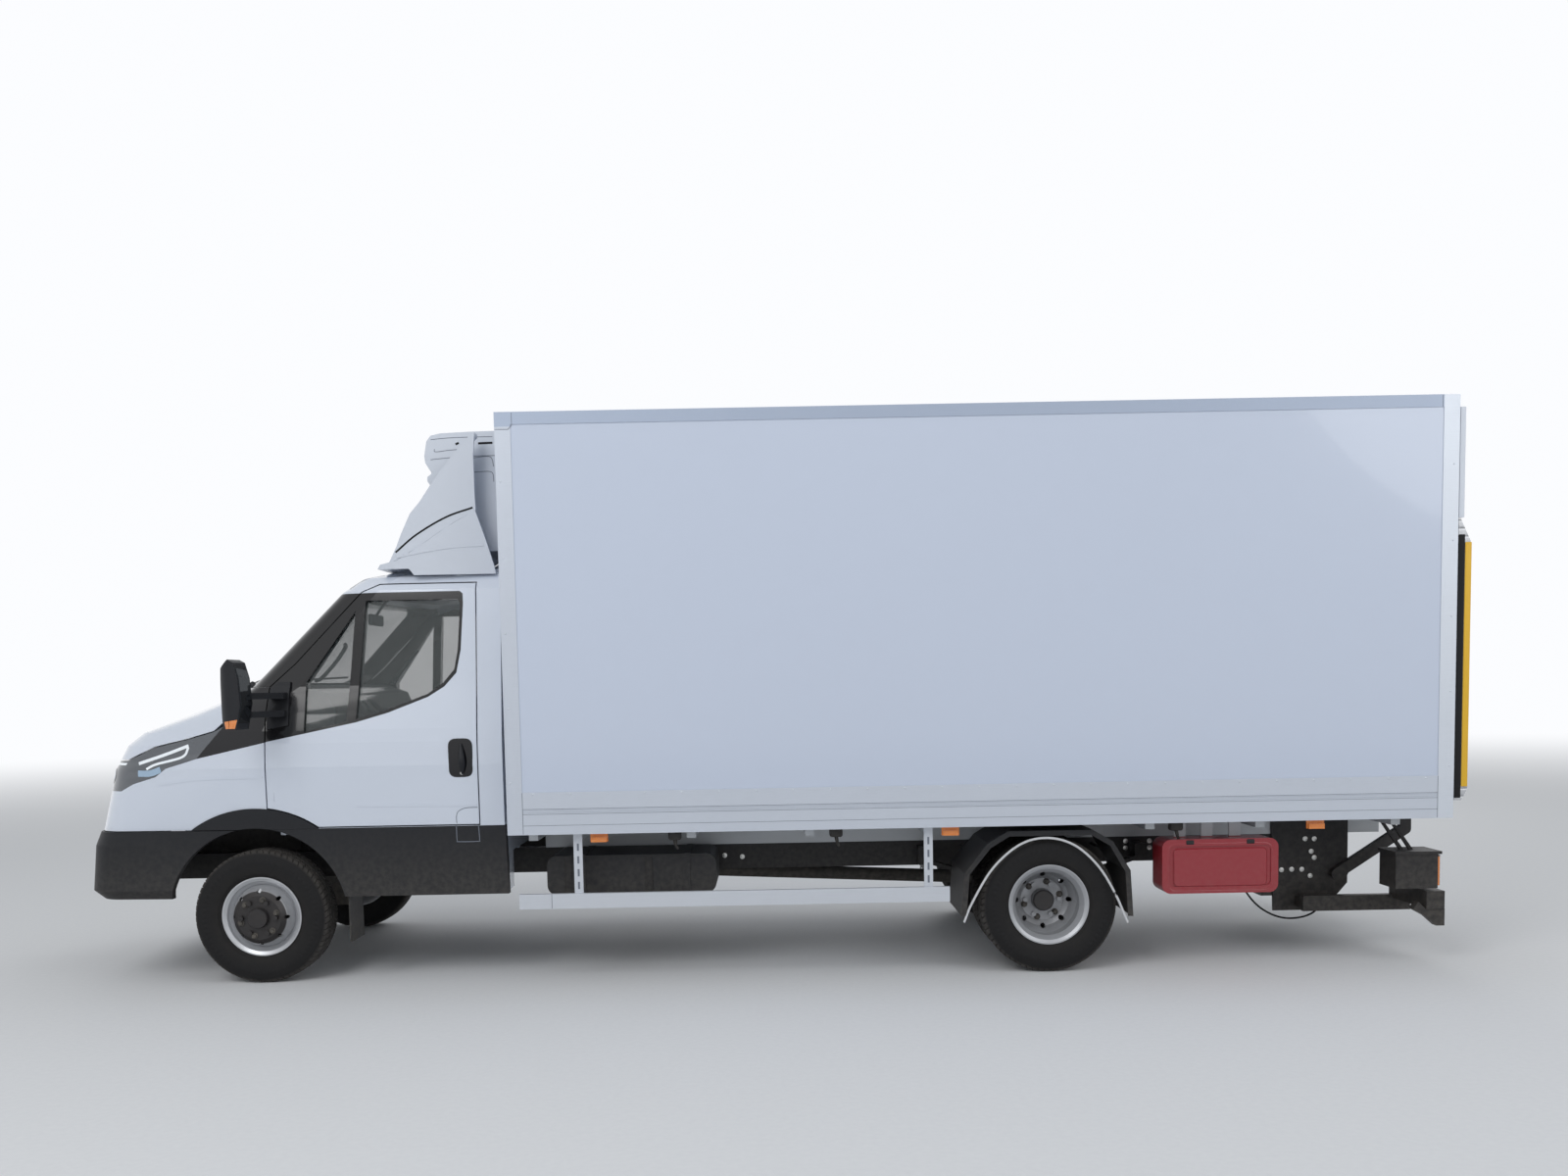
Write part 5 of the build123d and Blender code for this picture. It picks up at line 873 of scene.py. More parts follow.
def laid(sheet: Array, nodes: str, sign: int, offset: float = 0.0, axis: int = 1) -> Array:
    """Lays points on CAD nodes: each is carried along one axis to the first surface that it meets.

    Args:
        sheet: points set out beyond the surface, of any grid shape.
        nodes: names of the CAD nodes they land on.
        sign: 1 for points that come from the positive side of the axis, -1 for the negative one.
        offset: how far they stop short of the surface, in metres.
        axis: 0 to carry them along X, 1 along Y.

    Returns:
        The points laid down. One that meets nothing takes its place in proportion from its neighbours in the grid.
    """
    mesh, ground = bpy.data.meshes.new("sheet"), bpy.data.meshes.new("ground")
    mesh.from_pydata(sheet.reshape(-1, 3), [], [])
    work = bmesh.new()
    for node in nodes.split():
        work.from_mesh(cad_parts[node].data)
    work.to_mesh(ground)
    work.free()
    loose, under = placed("sheet", mesh), placed("ground", ground)
    press = loose.modifiers.new("press", "SHRINKWRAP")
    press.wrap_method = "PROJECT"
    press.use_project_x, press.use_project_y = axis == 0, axis == 1
    press.use_negative_direction, press.use_positive_direction = sign > 0, sign < 0
    press.project_limit = CARRY
    press.target = under
    settled = loose.evaluated_get(bpy.context.evaluated_depsgraph_get())
    landed = np.empty(sheet.size)
    settled.data.vertices.foreach_get("co", landed)
    landed = landed.reshape(-1, 3)
    met = np.abs(landed[:, axis] - sheet.reshape(-1, 3)[:, axis]) > 0.01
    order = np.arange(len(landed))
    landed[:, axis] = np.interp(order, order[met], landed[met, axis]) + sign * offset
    for made in (loose, under):
        bpy.data.objects.remove(made)
    return landed.reshape(sheet.shape)


# Dressing the CAD nodes

NODE_LOOKS: dict[Look, str] = {
    Look.CAB_WHITE: "bonnet front_wings",
    Look.SHELL_WHITE: "cab_shell",
    Look.DOOR_WHITE: "door_left door_right",
    Look.GLOSS_BLACK: "scuttle grille",
    Look.SMOKED: "headlamps",
    Look.GLAZING: "windscreen door_glass_left door_glass_right",
    Look.GRAINED: "front_bumper cab_cladding mirror_left mirror_right fuel_tank mudguards",
    Look.CABIN: "dashboard steering_wheel",
    Look.MOULDING: "roof_deflector fridge_unit top_flap",
    Look.ALUMINIUM: "box_floor rear_frame",
    Look.GEL_PANEL: "box_side_walls box_roof box_front_wall",
    Look.EDGES: "box_edge_profiles",
    Look.BLACK_STEEL: "frame_rails frame_crossmembers leaf_springs tail_lift_frame lift_arms lift_hinge_tube "
    "lift_barrels underrun_bar",
    Look.ZINC: "subframe floor_bearers",
    Look.CAST: "front_suspension rear_axle drive_train exhaust knuckle_left knuckle_right",
    Look.SKIRT: "side_guards",
    Look.RED_CASE: "extinguisher_box",
    Look.AMBER: "body_lamps",
    Look.PLATFORM: "lift_platform",
    Look.CHROME: "lift_rods",
    Look.SILVER_FRONT: "front_rim_left front_rim_right",
    Look.SILVER_REAR: "rear_rims_left rear_rims_right",
}
SIDES: tuple[tuple[str, int], ...] = (("left", 1), ("right", -1))


def dress_nodes() -> None:
    """Gives every CAD node that stays its finish."""
    for look, nodes in NODE_LOOKS.items():
        for node in nodes.split():
            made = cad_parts[node]
            made.data.materials.clear()
            made.data.materials.append(look.material)
            LOG.info("dressed %s", node)


@dataclass
class Tyre:
    """A road tyre: a closed section turned about the axle, with its grooves cut by lowering rows and columns.

    The sidewall's rows are (radius, outward). The tread's are (radius, outward, groove share, cross-groove share).
    """

    pitches: int = 66
    groove_depth: float = 0.009
    cross_depth: float = 0.007
    steps: Line = ((0.0, 0.0), (0.74, 0.0), (0.78, 1.0), (0.96, 1.0))
    lean: float = 0.55
    middle_half: float = 0.056
    serrated: Spot = (0.301, 0.319)
    serration: float = 0.0008
    shoulder: float = 0.35
    sidewall: Line = (
        (0.205, 0.073), (0.214, 0.0765), (0.221, 0.0787), (0.2225, 0.0815), (0.228, 0.0872), (0.238, 0.0945),
        (0.2395, 0.0970), (0.252, 0.1025), (0.262, 0.1060), (0.284, 0.1102), (0.300, 0.1112), (0.302, 0.1118),
        (0.318, 0.1112), (0.320, 0.1100), (0.334, 0.1068), (0.345, 0.1030), (0.356, 0.0962), (0.3650, 0.0870),
    )  # fmt: skip
    tread: tuple[tuple[float, float, float, float], ...] = (
        (0.3680, 0.0820, 0.0, 1.0), (0.3700, 0.0720, 0.0, 1.0), (0.3708, 0.0640, 0.0, 1.0), (0.3708, 0.0625, 1.0, 1.0),
        (0.3710, 0.0545, 1.0, 1.0), (0.3712, 0.0530, 0.0, 0.7), (0.3716, 0.0290, 0.0, 0.7), (0.3716, 0.0275, 1.0, 1.0),
        (0.3718, 0.0195, 1.0, 1.0), (0.3718, 0.0180, 0.0, 0.0),
    )  # fmt: skip

    def section(self) -> Array:
        """Rows of (radius, outward, groove share, cross-groove share) from one bead to the other."""
        wall = [(radius, out, 0.0, float(radius > self.shoulder)) for radius, out in self.sidewall]
        half = np.array(wall + list(self.tread))
        return np.concatenate([half, half[::-1] * np.array([1, -1, 1, 1])])

    def patch(self, work: Patchwork, axle: float, centre_y: float) -> None:
        """Adds one tyre.

        The angle of each row leans with its distance from the middle, so that the cross grooves slant. The radius is
        the section's, less the groove depth where a row or a column lies in a groove.
        """
        station, low = np.array(self.steps).T
        turn = (np.arange(self.pitches)[:, None] + station[None]).ravel() / self.pitches * math.tau
        in_groove = np.tile(low, self.pitches)
        radius, out, groove, cross = self.section().T
        shift = np.where(np.abs(out) < self.middle_half, 0.4, 0.0) * math.tau / self.pitches
        lean = np.abs(out) * self.lean / AXLE_HEIGHT + shift
        angle = turn[None] + np.where(radius > self.shoulder, lean, 0.0)[:, None]
        depth = np.maximum(groove[:, None] * self.groove_depth, cross[:, None] * in_groove[None] * self.cross_depth)
        reach = radius[:, None] - depth
        inner, outer = self.serrated
        serration = ((radius > inner) & (radius < outer))[:, None] * in_groove[None] * self.serration
        side = out[:, None] - np.sign(out)[:, None] * serration
        points = [behind(axle) + reach * np.cos(angle), centre_y + side, AXLE_HEIGHT + reach * np.sin(angle)]
        work.grid(np.stack(points, -1), close_rows=True, close_columns=True)


@dataclass
class Wheels:
    """The tyres of all six wheels."""

    front_y: float = 0.862
    rear_ys: tuple[float, float] = (0.9555, 0.6995)
    tyre: Tyre = field(default_factory=Tyre)

    def build(self) -> None:
        """Makes the pieces of every wheel."""
        for side, sign in SIDES:
            front = Patchwork(f"front_tyre_tread_{side}").paint(Look.FRONT_RUBBER)
            self.tyre.patch(front, 0.0, sign * self.front_y)
            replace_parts(front.build(f"front_wheel_{side}", "tyre_rubber"), f"front_tyre_{side}")
            rear = Patchwork(f"rear_tyre_treads_{side}").paint(Look.REAR_RUBBER)
            for centre in self.rear_ys:
                self.tyre.patch(rear, WHEELBASE, sign * centre)
            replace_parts(rear.build(f"rear_wheels_{side}", "tyre_rubber"), f"rear_tyres_{side}")


@dataclass
class WheelNuts:
    """Wheel nuts on the discs of all four outer rims."""

    circle: float = 0.1025
    count: int = 6
    nut: float = 0.0125

    def build(self) -> None:
        """Sets the nuts on a circle round each axle."""
        turn = (np.arange(self.count) + 0.25) / self.count * math.tau
        for side, sign in SIDES:
            for axle, rim, body in (
                (0.0, f"front_rim_{side}", f"front_wheel_{side}"),
                (WHEELBASE, f"rear_rims_{side}", f"rear_wheels_{side}"),
            ):
                work = Patchwork(f"{body}_nuts").paint(Look.CAST)
                spots = np.stack([axle + self.circle * np.cos(turn), AXLE_HEIGHT + self.circle * np.sin(turn)], 1)
                work.bolts(laid(side_view(spots, sign), rim, sign), (0, sign, 0), self.nut, 0.018)
                work.build(body, "cast_grey")


@dataclass
class Seats:
    """A driver's seat and two passenger seats: padded cushions on moulded plinths."""

    rows: Line = ((0.175, 0.665), (-0.310, 0.110), (-0.745, -0.325))
    base: tuple[Spot, Spot] = ((0.64, 1.14), (1.062, 1.188))
    back_low: Spot = (1.075, 1.130)
    back_high: Spot = (1.262, 1.690)
    back_half: float = 0.062
    rest: tuple[Spot, Spot] = ((1.228, 1.308), (1.738, 1.908))
    plinth: tuple[Spot, Spot] = ((0.69, 1.13), (0.905, 1.058))
    plinth_edge: float = 0.03
    stalks: tuple[Spot, Spot] = ((1.262, 1.66), (1.270, 1.76))

    def build(self) -> None:
        """Makes the cushions as one padded piece and the plinths and headrest stalks as another."""
        soft = Patchwork("seat_cushions").paint(Look.SEAT)
        hard = Patchwork("seat_plinths").paint(Look.CABIN)
        low, high = np.array(self.back_low), np.array(self.back_high)
        long = float(np.linalg.norm(high - low))
        lean, spot = (high - low) / long, (low + high) / 2
        along, front = (-lean[0], 0.0, lean[1]), (lean[1], 0.0, lean[0])
        for inner, outer in self.rows:
            middle, half = (inner + outer) / 2, (outer - inner) / 2 - 0.004
            centre, deep, tall = self.middle_of(self.base, middle)
            soft.cushion(centre, (1.0, 0.0, 0.0), (0.0, 0.0, 1.0), (deep, half, tall), (-0.58, 0.58))
            size = (long / 2, half, self.back_half)
            soft.cushion((behind(spot[0]), middle, spot[1]), along, front, size, (-0.62, 0.62))
            centre, deep, tall = self.middle_of(self.rest, middle)
            soft.cushion(centre, along, front, (tall, half * 0.55, deep), (), 0.2)
            width, edge = (inner + self.plinth_edge, outer - self.plinth_edge), self.plinth_edge
            hard.block(self.plinth[0], width, self.plinth[1], 1, edge, 4)
            for reach in (-0.055, 0.055):
                hard.tube([(behind(u), middle + reach, z) for u, z in self.stalks], 0.006)
        cushions = soft.build("chassis", "seat_cloth")
        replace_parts(cushions, "seats")
        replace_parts(hard.build("chassis", "cabin_plastic"), "seats")

    def middle_of(self, box: tuple[Spot, Spot], y: float) -> tuple[Place, float, float]:
        """Centre, half depth and half height of a box given by its span along the truck and its heights."""
        (front, rear), (low, high) = box
        return (behind((front + rear) / 2), y, (low + high) / 2), (rear - front) / 2, (high - low) / 2


@dataclass
class CabTrim:
    """What the cab's panels carry: lamp graphics, creases, handles, mirror glass, wipers and cabin fittings."""

    guides: tuple[tuple[float, Line], ...] = (
        (0.017, ((-0.636, 1.234), (-0.489, 1.281), (-0.357, 1.328))),
        (0.013, ((-0.592, 1.203), (-0.538, 1.229), (-0.391, 1.267), (-0.357, 1.318))),
    )
    projector: Line = ((-0.640, 1.180), (-0.572, 1.180), (-0.512, 1.200))
    lamp_ahead: float = 4.2
    lamp_strip: tuple[Spot, Spot] = ((0.665, 0.925), (1.226, 1.238))
    lamp_discs: Line = ((0.735, 1.160), (0.845, 1.165))
    lamp_rings: tuple[tuple[Look, float, float, float], ...] = (
        (Look.GLOSS_BLACK, 0.029, 0.043, 0.0012),
        (Look.PROJECTOR, 0.001, 0.029, 0.0020),
    )
    wing_crease: Line = ((-0.533, 1.116), (-0.306, 1.142), (0.060, 1.149))
    door_crease: Line = ((0.565, 0.983), (0.900, 0.979), (1.226, 0.976))
    flap_on_door: Line = ((1.113, 0.876), (1.113, 0.920), (1.128, 0.946), (1.167, 0.961), (1.230, 0.963))
    flap_below: Line = (
        (1.232, 0.866), (1.236, 0.784), (1.228, 0.776), (1.120, 0.776), (1.112, 0.784), (1.111, 0.866),
    )  # fmt: skip
    recess: Rectangle = (1.080, 1.213, 1.130, 1.342)
    recess_corner: float = 0.045
    lever_radius: float = 0.017
    indicator: tuple[tuple[Spot, Spot], ...] = (((0.008, 1.425), (0.060, 1.426)), ((0.000, 1.462), (0.074, 1.472)))
    mirror_rear: tuple[tuple[float, ...], ...] = ((1.420, 1.555, 1.690, 1.770), (0.066, 0.092, 0.083, 0.062))
    mirror_glass: tuple[Spot, Spot] = ((1.192, 1.328), (1.452, 1.742))
    screen: tuple[tuple[float, ...], ...] = ((1.64, -0.250, -0.015, 0.850), (2.16, 0.320, 0.495, 0.822))
    screen_normal: Place = (0.75, 0.0, 0.65)
    wiper_spans: Line = ((0.62, 0.02), (0.02, -0.58))
    arm_heights: Spot = (1.655, 1.700)
    blade_shift: Spot = (0.18, 0.16)
    blade_heights: Spot = (1.684, 1.708)
    foot_height: float = 1.652
    foot: Line = ((0, 0.020), (0.02, 0.020), (0.034, 0.013), (0.036, 0.004))
    grab: tuple[Place, ...] = (
        (0.300, 0.775, 1.672), (0.322, 0.735, 1.690), (0.400, 0.728, 1.775),
        (0.455, 0.732, 1.850), (0.470, 0.768, 1.872),
    )  # fmt: skip
    cabin_mirror: tuple[Spot, Spot, Spot] = ((0.408, 0.438), (-0.125, 0.125), (2.010, 2.078))
    stalk: Line = ((0.425, 2.07), (0.46, 2.12), (0.50, 2.168))

    def build(self) -> None:
        """Makes each side's pieces, then those in the middle."""
        for side, sign in SIDES:
            self.lamps(side, sign)
            self.panels(side, sign)
            self.door(side, sign)
            self.mirror(side, sign)
        self.wipers()
        self.cabin()

    def lamps(self, side: str, sign: int) -> None:
        """Light guides and projectors, on the lens.

        On the front face lie a guide under its top edge and two round projectors in dark rings. Each of these discs
        is a grid of (angle, radius) round its centre.
        """
        work = Patchwork(f"headlamp_guides_{side}").paint(Look.LIGHT_GUIDE)
        for width, path in self.guides:
            work.stripe(path, width, sign, "headlamps", -0.0004, 0.0012, 8)
        work.paint(Look.PROJECTOR)
        work.stripe(self.projector, 0.034, sign, "headlamps", -0.0004, 0.0012, 8)
        across, height = np.linspace(*self.lamp_strip[0], 24), np.array(self.lamp_strip[1])
        self.ahead(work.paint(Look.LIGHT_GUIDE), sign * across[:, None], height[None], 0.0012)
        turn = np.linspace(0, math.tau, 28)[:, None]
        for y, z in self.lamp_discs:
            for look, inner, outer, proud in self.lamp_rings:
                reach = np.linspace(inner, outer, 4)
                self.ahead(work.paint(look), sign * (y + reach * np.cos(turn)), z + reach * np.sin(turn), proud)
        work.build("chassis", "lamp_lens")

    def ahead(self, work: Patchwork, y: Array, z: Array, thick: float) -> None:
        """A sheet laid on the lamp's front face, carried back along X."""
        sheet = np.stack(np.broadcast_arrays(self.lamp_ahead, y, z), -1)
        work.skin(laid(sheet, "headlamps", 1, 0.0004, 0), thick, 1, 0)

    def panels(self, side: str, sign: int) -> None:
        """The wing's crease, and painted shade along the filler flap's outline in the cladding."""
        work = Patchwork(f"wing_crease_{side}").paint(Look.CAB_WHITE)
        work.stripe(self.wing_crease, 0.012, sign, "front_wings", 0.001, 0.0034, 12)
        work.build("chassis", "body_white")
        work = Patchwork(f"filler_flap_line_{side}").paint(Look.SEAM)
        work.stripe(self.flap_below, 0.004, sign, "cab_cladding")
        work.build("chassis", "dark_plastic")

    def door(self, side: str, sign: int) -> None:
        """The door's crease, painted shade along the filler flap's upper line, and the handle's recess, lever and lock.
        """
        body, node = f"cab_door_{side}", f"door_{side}"
        work = Patchwork(f"door_crease_{side}").paint(Look.CAB_WHITE)
        work.stripe(self.door_crease, 0.011, sign, node, 0.001, 0.0032, 12)
        work.paint(Look.SEAM).stripe(self.flap_on_door, 0.004, sign, node)
        work.build(body, "body_white")
        front, rear, low, high = self.recess
        middle = (front + rear) / 2
        surface = abs(float(laid(side_view([(middle, (low + high) / 2)], sign), node, sign)[0, 1]))
        work = Patchwork(f"door_handle_{side}").paint(Look.GLOSS_BLACK)
        outline = rounded(oblong(front, rear, low, high), self.recess_corner, 6)
        level = np.stack([(outline[:, 0] - front) * sign, outline[:, 1]], 1)[::sign]
        work.plate(level, (behind(front), sign * (surface - 0.006), 0.0), (-sign, 0, 0), (0, 0, 1), 0.009, 0.003)
        work.paint(Look.GRAINED)
        bulge = ((0.01, 0.002, low + 0.02), (0.012, 0.026, low + 0.09), (0.004, 0.004, high - 0.03))
        lever = curve([(behind(middle + back), sign * (surface + out), z) for back, out, z in bulge])
        work.tube(lever, np.sin(np.linspace(0.5, 2.6, len(lever))) * self.lever_radius, 14)
        work.paint(Look.BRIGHT_BOLT)
        work.rivets([(behind(middle + 0.004), sign * (surface + 0.002), low + 0.022)], (0, sign, 0), 0.010)
        work.build(body, "gloss_black")

    def mirror(self, side: str, sign: int) -> None:
        """The mirror's glass on the head's rear face, and its indicator on the outside."""
        work = Patchwork(f"mirror_indicator_{side}").paint(Look.AMBER)
        work.skin(laid(between(*self.indicator, sign), f"mirror_{side}", sign, -0.001), 0.0014, sign)
        work.build(f"cab_door_{side}", "amber_lens")
        across, height = np.linspace(*self.mirror_glass[0], 9), np.linspace(*self.mirror_glass[1], 22)
        rear = np.interp(height, *self.mirror_rear)
        pane = np.stack(np.broadcast_arrays(behind(rear)[:, None], sign * across[None], height[:, None]), -1)
        out = np.array([0.0022, 0.0, 0.0])
        work = Patchwork(f"mirror_glass_{side}").paint(Look.MIRROR_GLASS)
        work.grid(np.concatenate([pane + out, (pane - out)[:, ::-1]], 1), close_columns=True, caps=True)
        work.build(f"cab_door_{side}", "glazing")

    def on_screen(self, across: Array, height: Array, out: float) -> Array:
        """Places on the windscreen: the front edge of a height, drawn back by the square of the distance sideways."""
        (low_z, *low), (high_z, *high) = self.screen
        share = (height - low_z) / (high_z - low_z)
        front, corner, half = (a + (b - a) * share for a, b in zip(low, high))
        back = front + (corner - front) * (across / half) ** 2
        ahead, _, up = self.screen_normal
        return np.stack([behind(back) + out * ahead, across, height + out * up], -1)

    def wipers(self) -> None:
        """Two arms from the scuttle, each with a blade that lies along the foot of the screen."""
        work = Patchwork("wipers").paint(Look.GRAINED)
        for pivot, tip in self.wiper_spans:
            across, height = np.linspace(pivot, tip, 14), np.linspace(*self.arm_heights, 14)
            lift = 0.002 + 0.006 * np.sin(np.linspace(0, math.pi, 14))
            work.tube(self.on_screen(across, height, 0.0) + lift[:, None] * self.screen_normal, 0.0055)
            across = np.linspace(pivot - self.blade_shift[0], tip - self.blade_shift[1], 24)
            work.tube(self.on_screen(across, np.linspace(*self.blade_heights, 24), -0.004), 0.0065, 8)
            base = self.on_screen(np.array(pivot), np.array(self.foot_height), -0.012)
            work.lathe(self.foot, base, (0.66, 0, 0.75), 20)
        work.build("chassis", "dark_plastic")

    def cabin(self) -> None:
        """Grab handles on the pillars and the mirror over the dashboard."""
        work = Patchwork("cabin_fittings").paint(Look.CABIN)
        for _, sign in SIDES:
            work.tube(curve([(behind(u), sign * y, z) for u, y, z in self.grab]), 0.011, 12)
        work.block(*self.cabin_mirror, 1, 0.013, 4)
        work.tube(curve([(behind(u), 0.0, z) for u, z in self.stalk], 6), 0.009)
        work.build("chassis", "cabin_plastic")


@dataclass
class RoofTrim:
    """A painted shadow line and a crease on the deflector, painted shade in the grooves of the refrigeration unit's
    side, and its slots.
    """

    deflector_shadow_line: Line = ((0.800, 2.366), (0.917, 2.460), (1.082, 2.552), (1.232, 2.602))
    deflector_crease: Line = ((0.801, 2.340), (0.992, 2.374), (1.144, 2.392), (1.286, 2.397))
    roof_wedge: Line = ((0.512, 2.184), (0.560, 2.224), (0.630, 2.250), (0.700, 2.262))
    grooves: tuple[Line, ...] = (
        ((0.978, 3.000), (1.062, 3.007), (1.163, 3.010), (1.323, 3.011)),
        ((0.974, 2.890), (1.016, 2.894), (1.180, 2.905), (1.380, 2.907)),
        ((0.997, 2.948), (1.004, 2.933), (1.087, 2.941), (1.200, 2.947)),
        ((1.211, 2.896), (1.288, 2.903), (1.315, 2.891), (1.324, 2.846)),
        ((1.208, 2.817), (1.296, 2.820), (1.319, 2.805), (1.322, 2.763)),
    )
    slots: tuple[Line, ...] = (
        ((1.242, 2.975), (1.280, 2.976), (1.322, 2.977)),
        ((1.116, 2.972), (1.125, 2.976), (1.134, 2.980)),
    )

    def build(self) -> None:
        """Makes both sides' painted shadow lines, creases, grooves and slots."""
        for side, sign in SIDES:
            # A black strip along the deflector's step, in the seal rubber finish: a painted shadow line.
            work = Patchwork(f"deflector_shadow_line_{side}").paint(Look.SOFT_RUBBER)
            work.stripe(self.deflector_shadow_line, 0.010, sign, "roof_deflector", 0.0005, 0.0012, 10)
            work.paint(Look.MOULDING)
            work.stripe(self.deflector_crease, 0.014, sign, "roof_deflector", 0.001, 0.004, 10)
            work.build("chassis", "moulded_white")
            work = Patchwork(f"roof_edge_wedge_{side}").paint(Look.GLOSS_BLACK)
            work.stripe(self.roof_wedge, 0.020, sign, "cab_shell", 0.0005, 0.003, 8)
            work.build("chassis", "gloss_black")
            # Dark strips in the unit's grooves: painted shade.
            work = Patchwork(f"fridge_slots_{side}").paint(Look.SEAM)
            for path in self.grooves:
                work.stripe(path, 0.004, sign, "fridge_unit", thick=0.0008, steps=8)
            work.paint(Look.SOFT_RUBBER)
            for path in self.slots:
                work.stripe(path, 0.012, sign, "fridge_unit", steps=4)
            work.build("chassis", "moulded_white")


@dataclass
class BoxTrim:
    """The box's small parts: painted shade in the skirt's grooves and the rails' joints, and the skirt's rivets."""

    span: Spot = (1.50, 6.427)
    groove_heights: tuple[float, ...] = (0.957, 0.929, 0.868)
    groove_half: float = 0.0011
    rivet_height: float = 1.036
    rivet_pitch: float = 0.2
    posts: tuple[float, ...] = (1.44, 6.485)
    joints: tuple[Line, ...] = (
        ((1.500, 0.822), (1.500, 0.934), (1.500, 1.046)),
        ((6.427, 0.822), (6.427, 0.934), (6.427, 1.046)),
        ((1.417, 2.970), (1.450, 2.970), (1.488, 2.970)),
        ((1.488, 2.970), (1.498, 2.982), (1.508, 2.995)),
        ((1.508, 2.998), (1.508, 3.028), (1.508, 3.058)),
        ((6.420, 2.998), (6.420, 3.028), (6.420, 3.058)),
    )

    def build(self) -> None:
        """Makes both sides' trim."""
        spots = [(place, self.rivet_height) for place in np.arange(1.56, 6.40, self.rivet_pitch)]
        spots += [(place, height) for place in self.posts for height in np.arange(1.1, 2.9, 0.4)]
        edges = np.array([[0.0, -self.groove_half], [0.0, self.groove_half]])
        for side, sign in SIDES:
            # Dark strips in the skirt's grooves and the rails' joints: painted shade.
            work = Patchwork(f"skirt_grooves_{side}").paint(Look.SEAM)
            for height in self.groove_heights:
                line = np.stack([np.linspace(*self.span, 30), np.full(30, height)], 1)
                flat = side_view(line[:, None] + edges, sign)
                work.skin(laid(flat, "box_edge_profiles", sign, -0.0004), 0.0008, sign)
            for path in self.joints:
                work.stripe(path, 0.003, sign, "box_edge_profiles", thick=0.0008, steps=3, columns=2)
            work.build("chassis", "bare_aluminium")
            work = Patchwork(f"skirt_rivets_{side}").paint(Look.ALUMINIUM)
            work.rivets(laid(side_view(spots, sign), "box_edge_profiles rear_frame", sign), (0, sign, 0))
            work.build("chassis", "bare_aluminium")


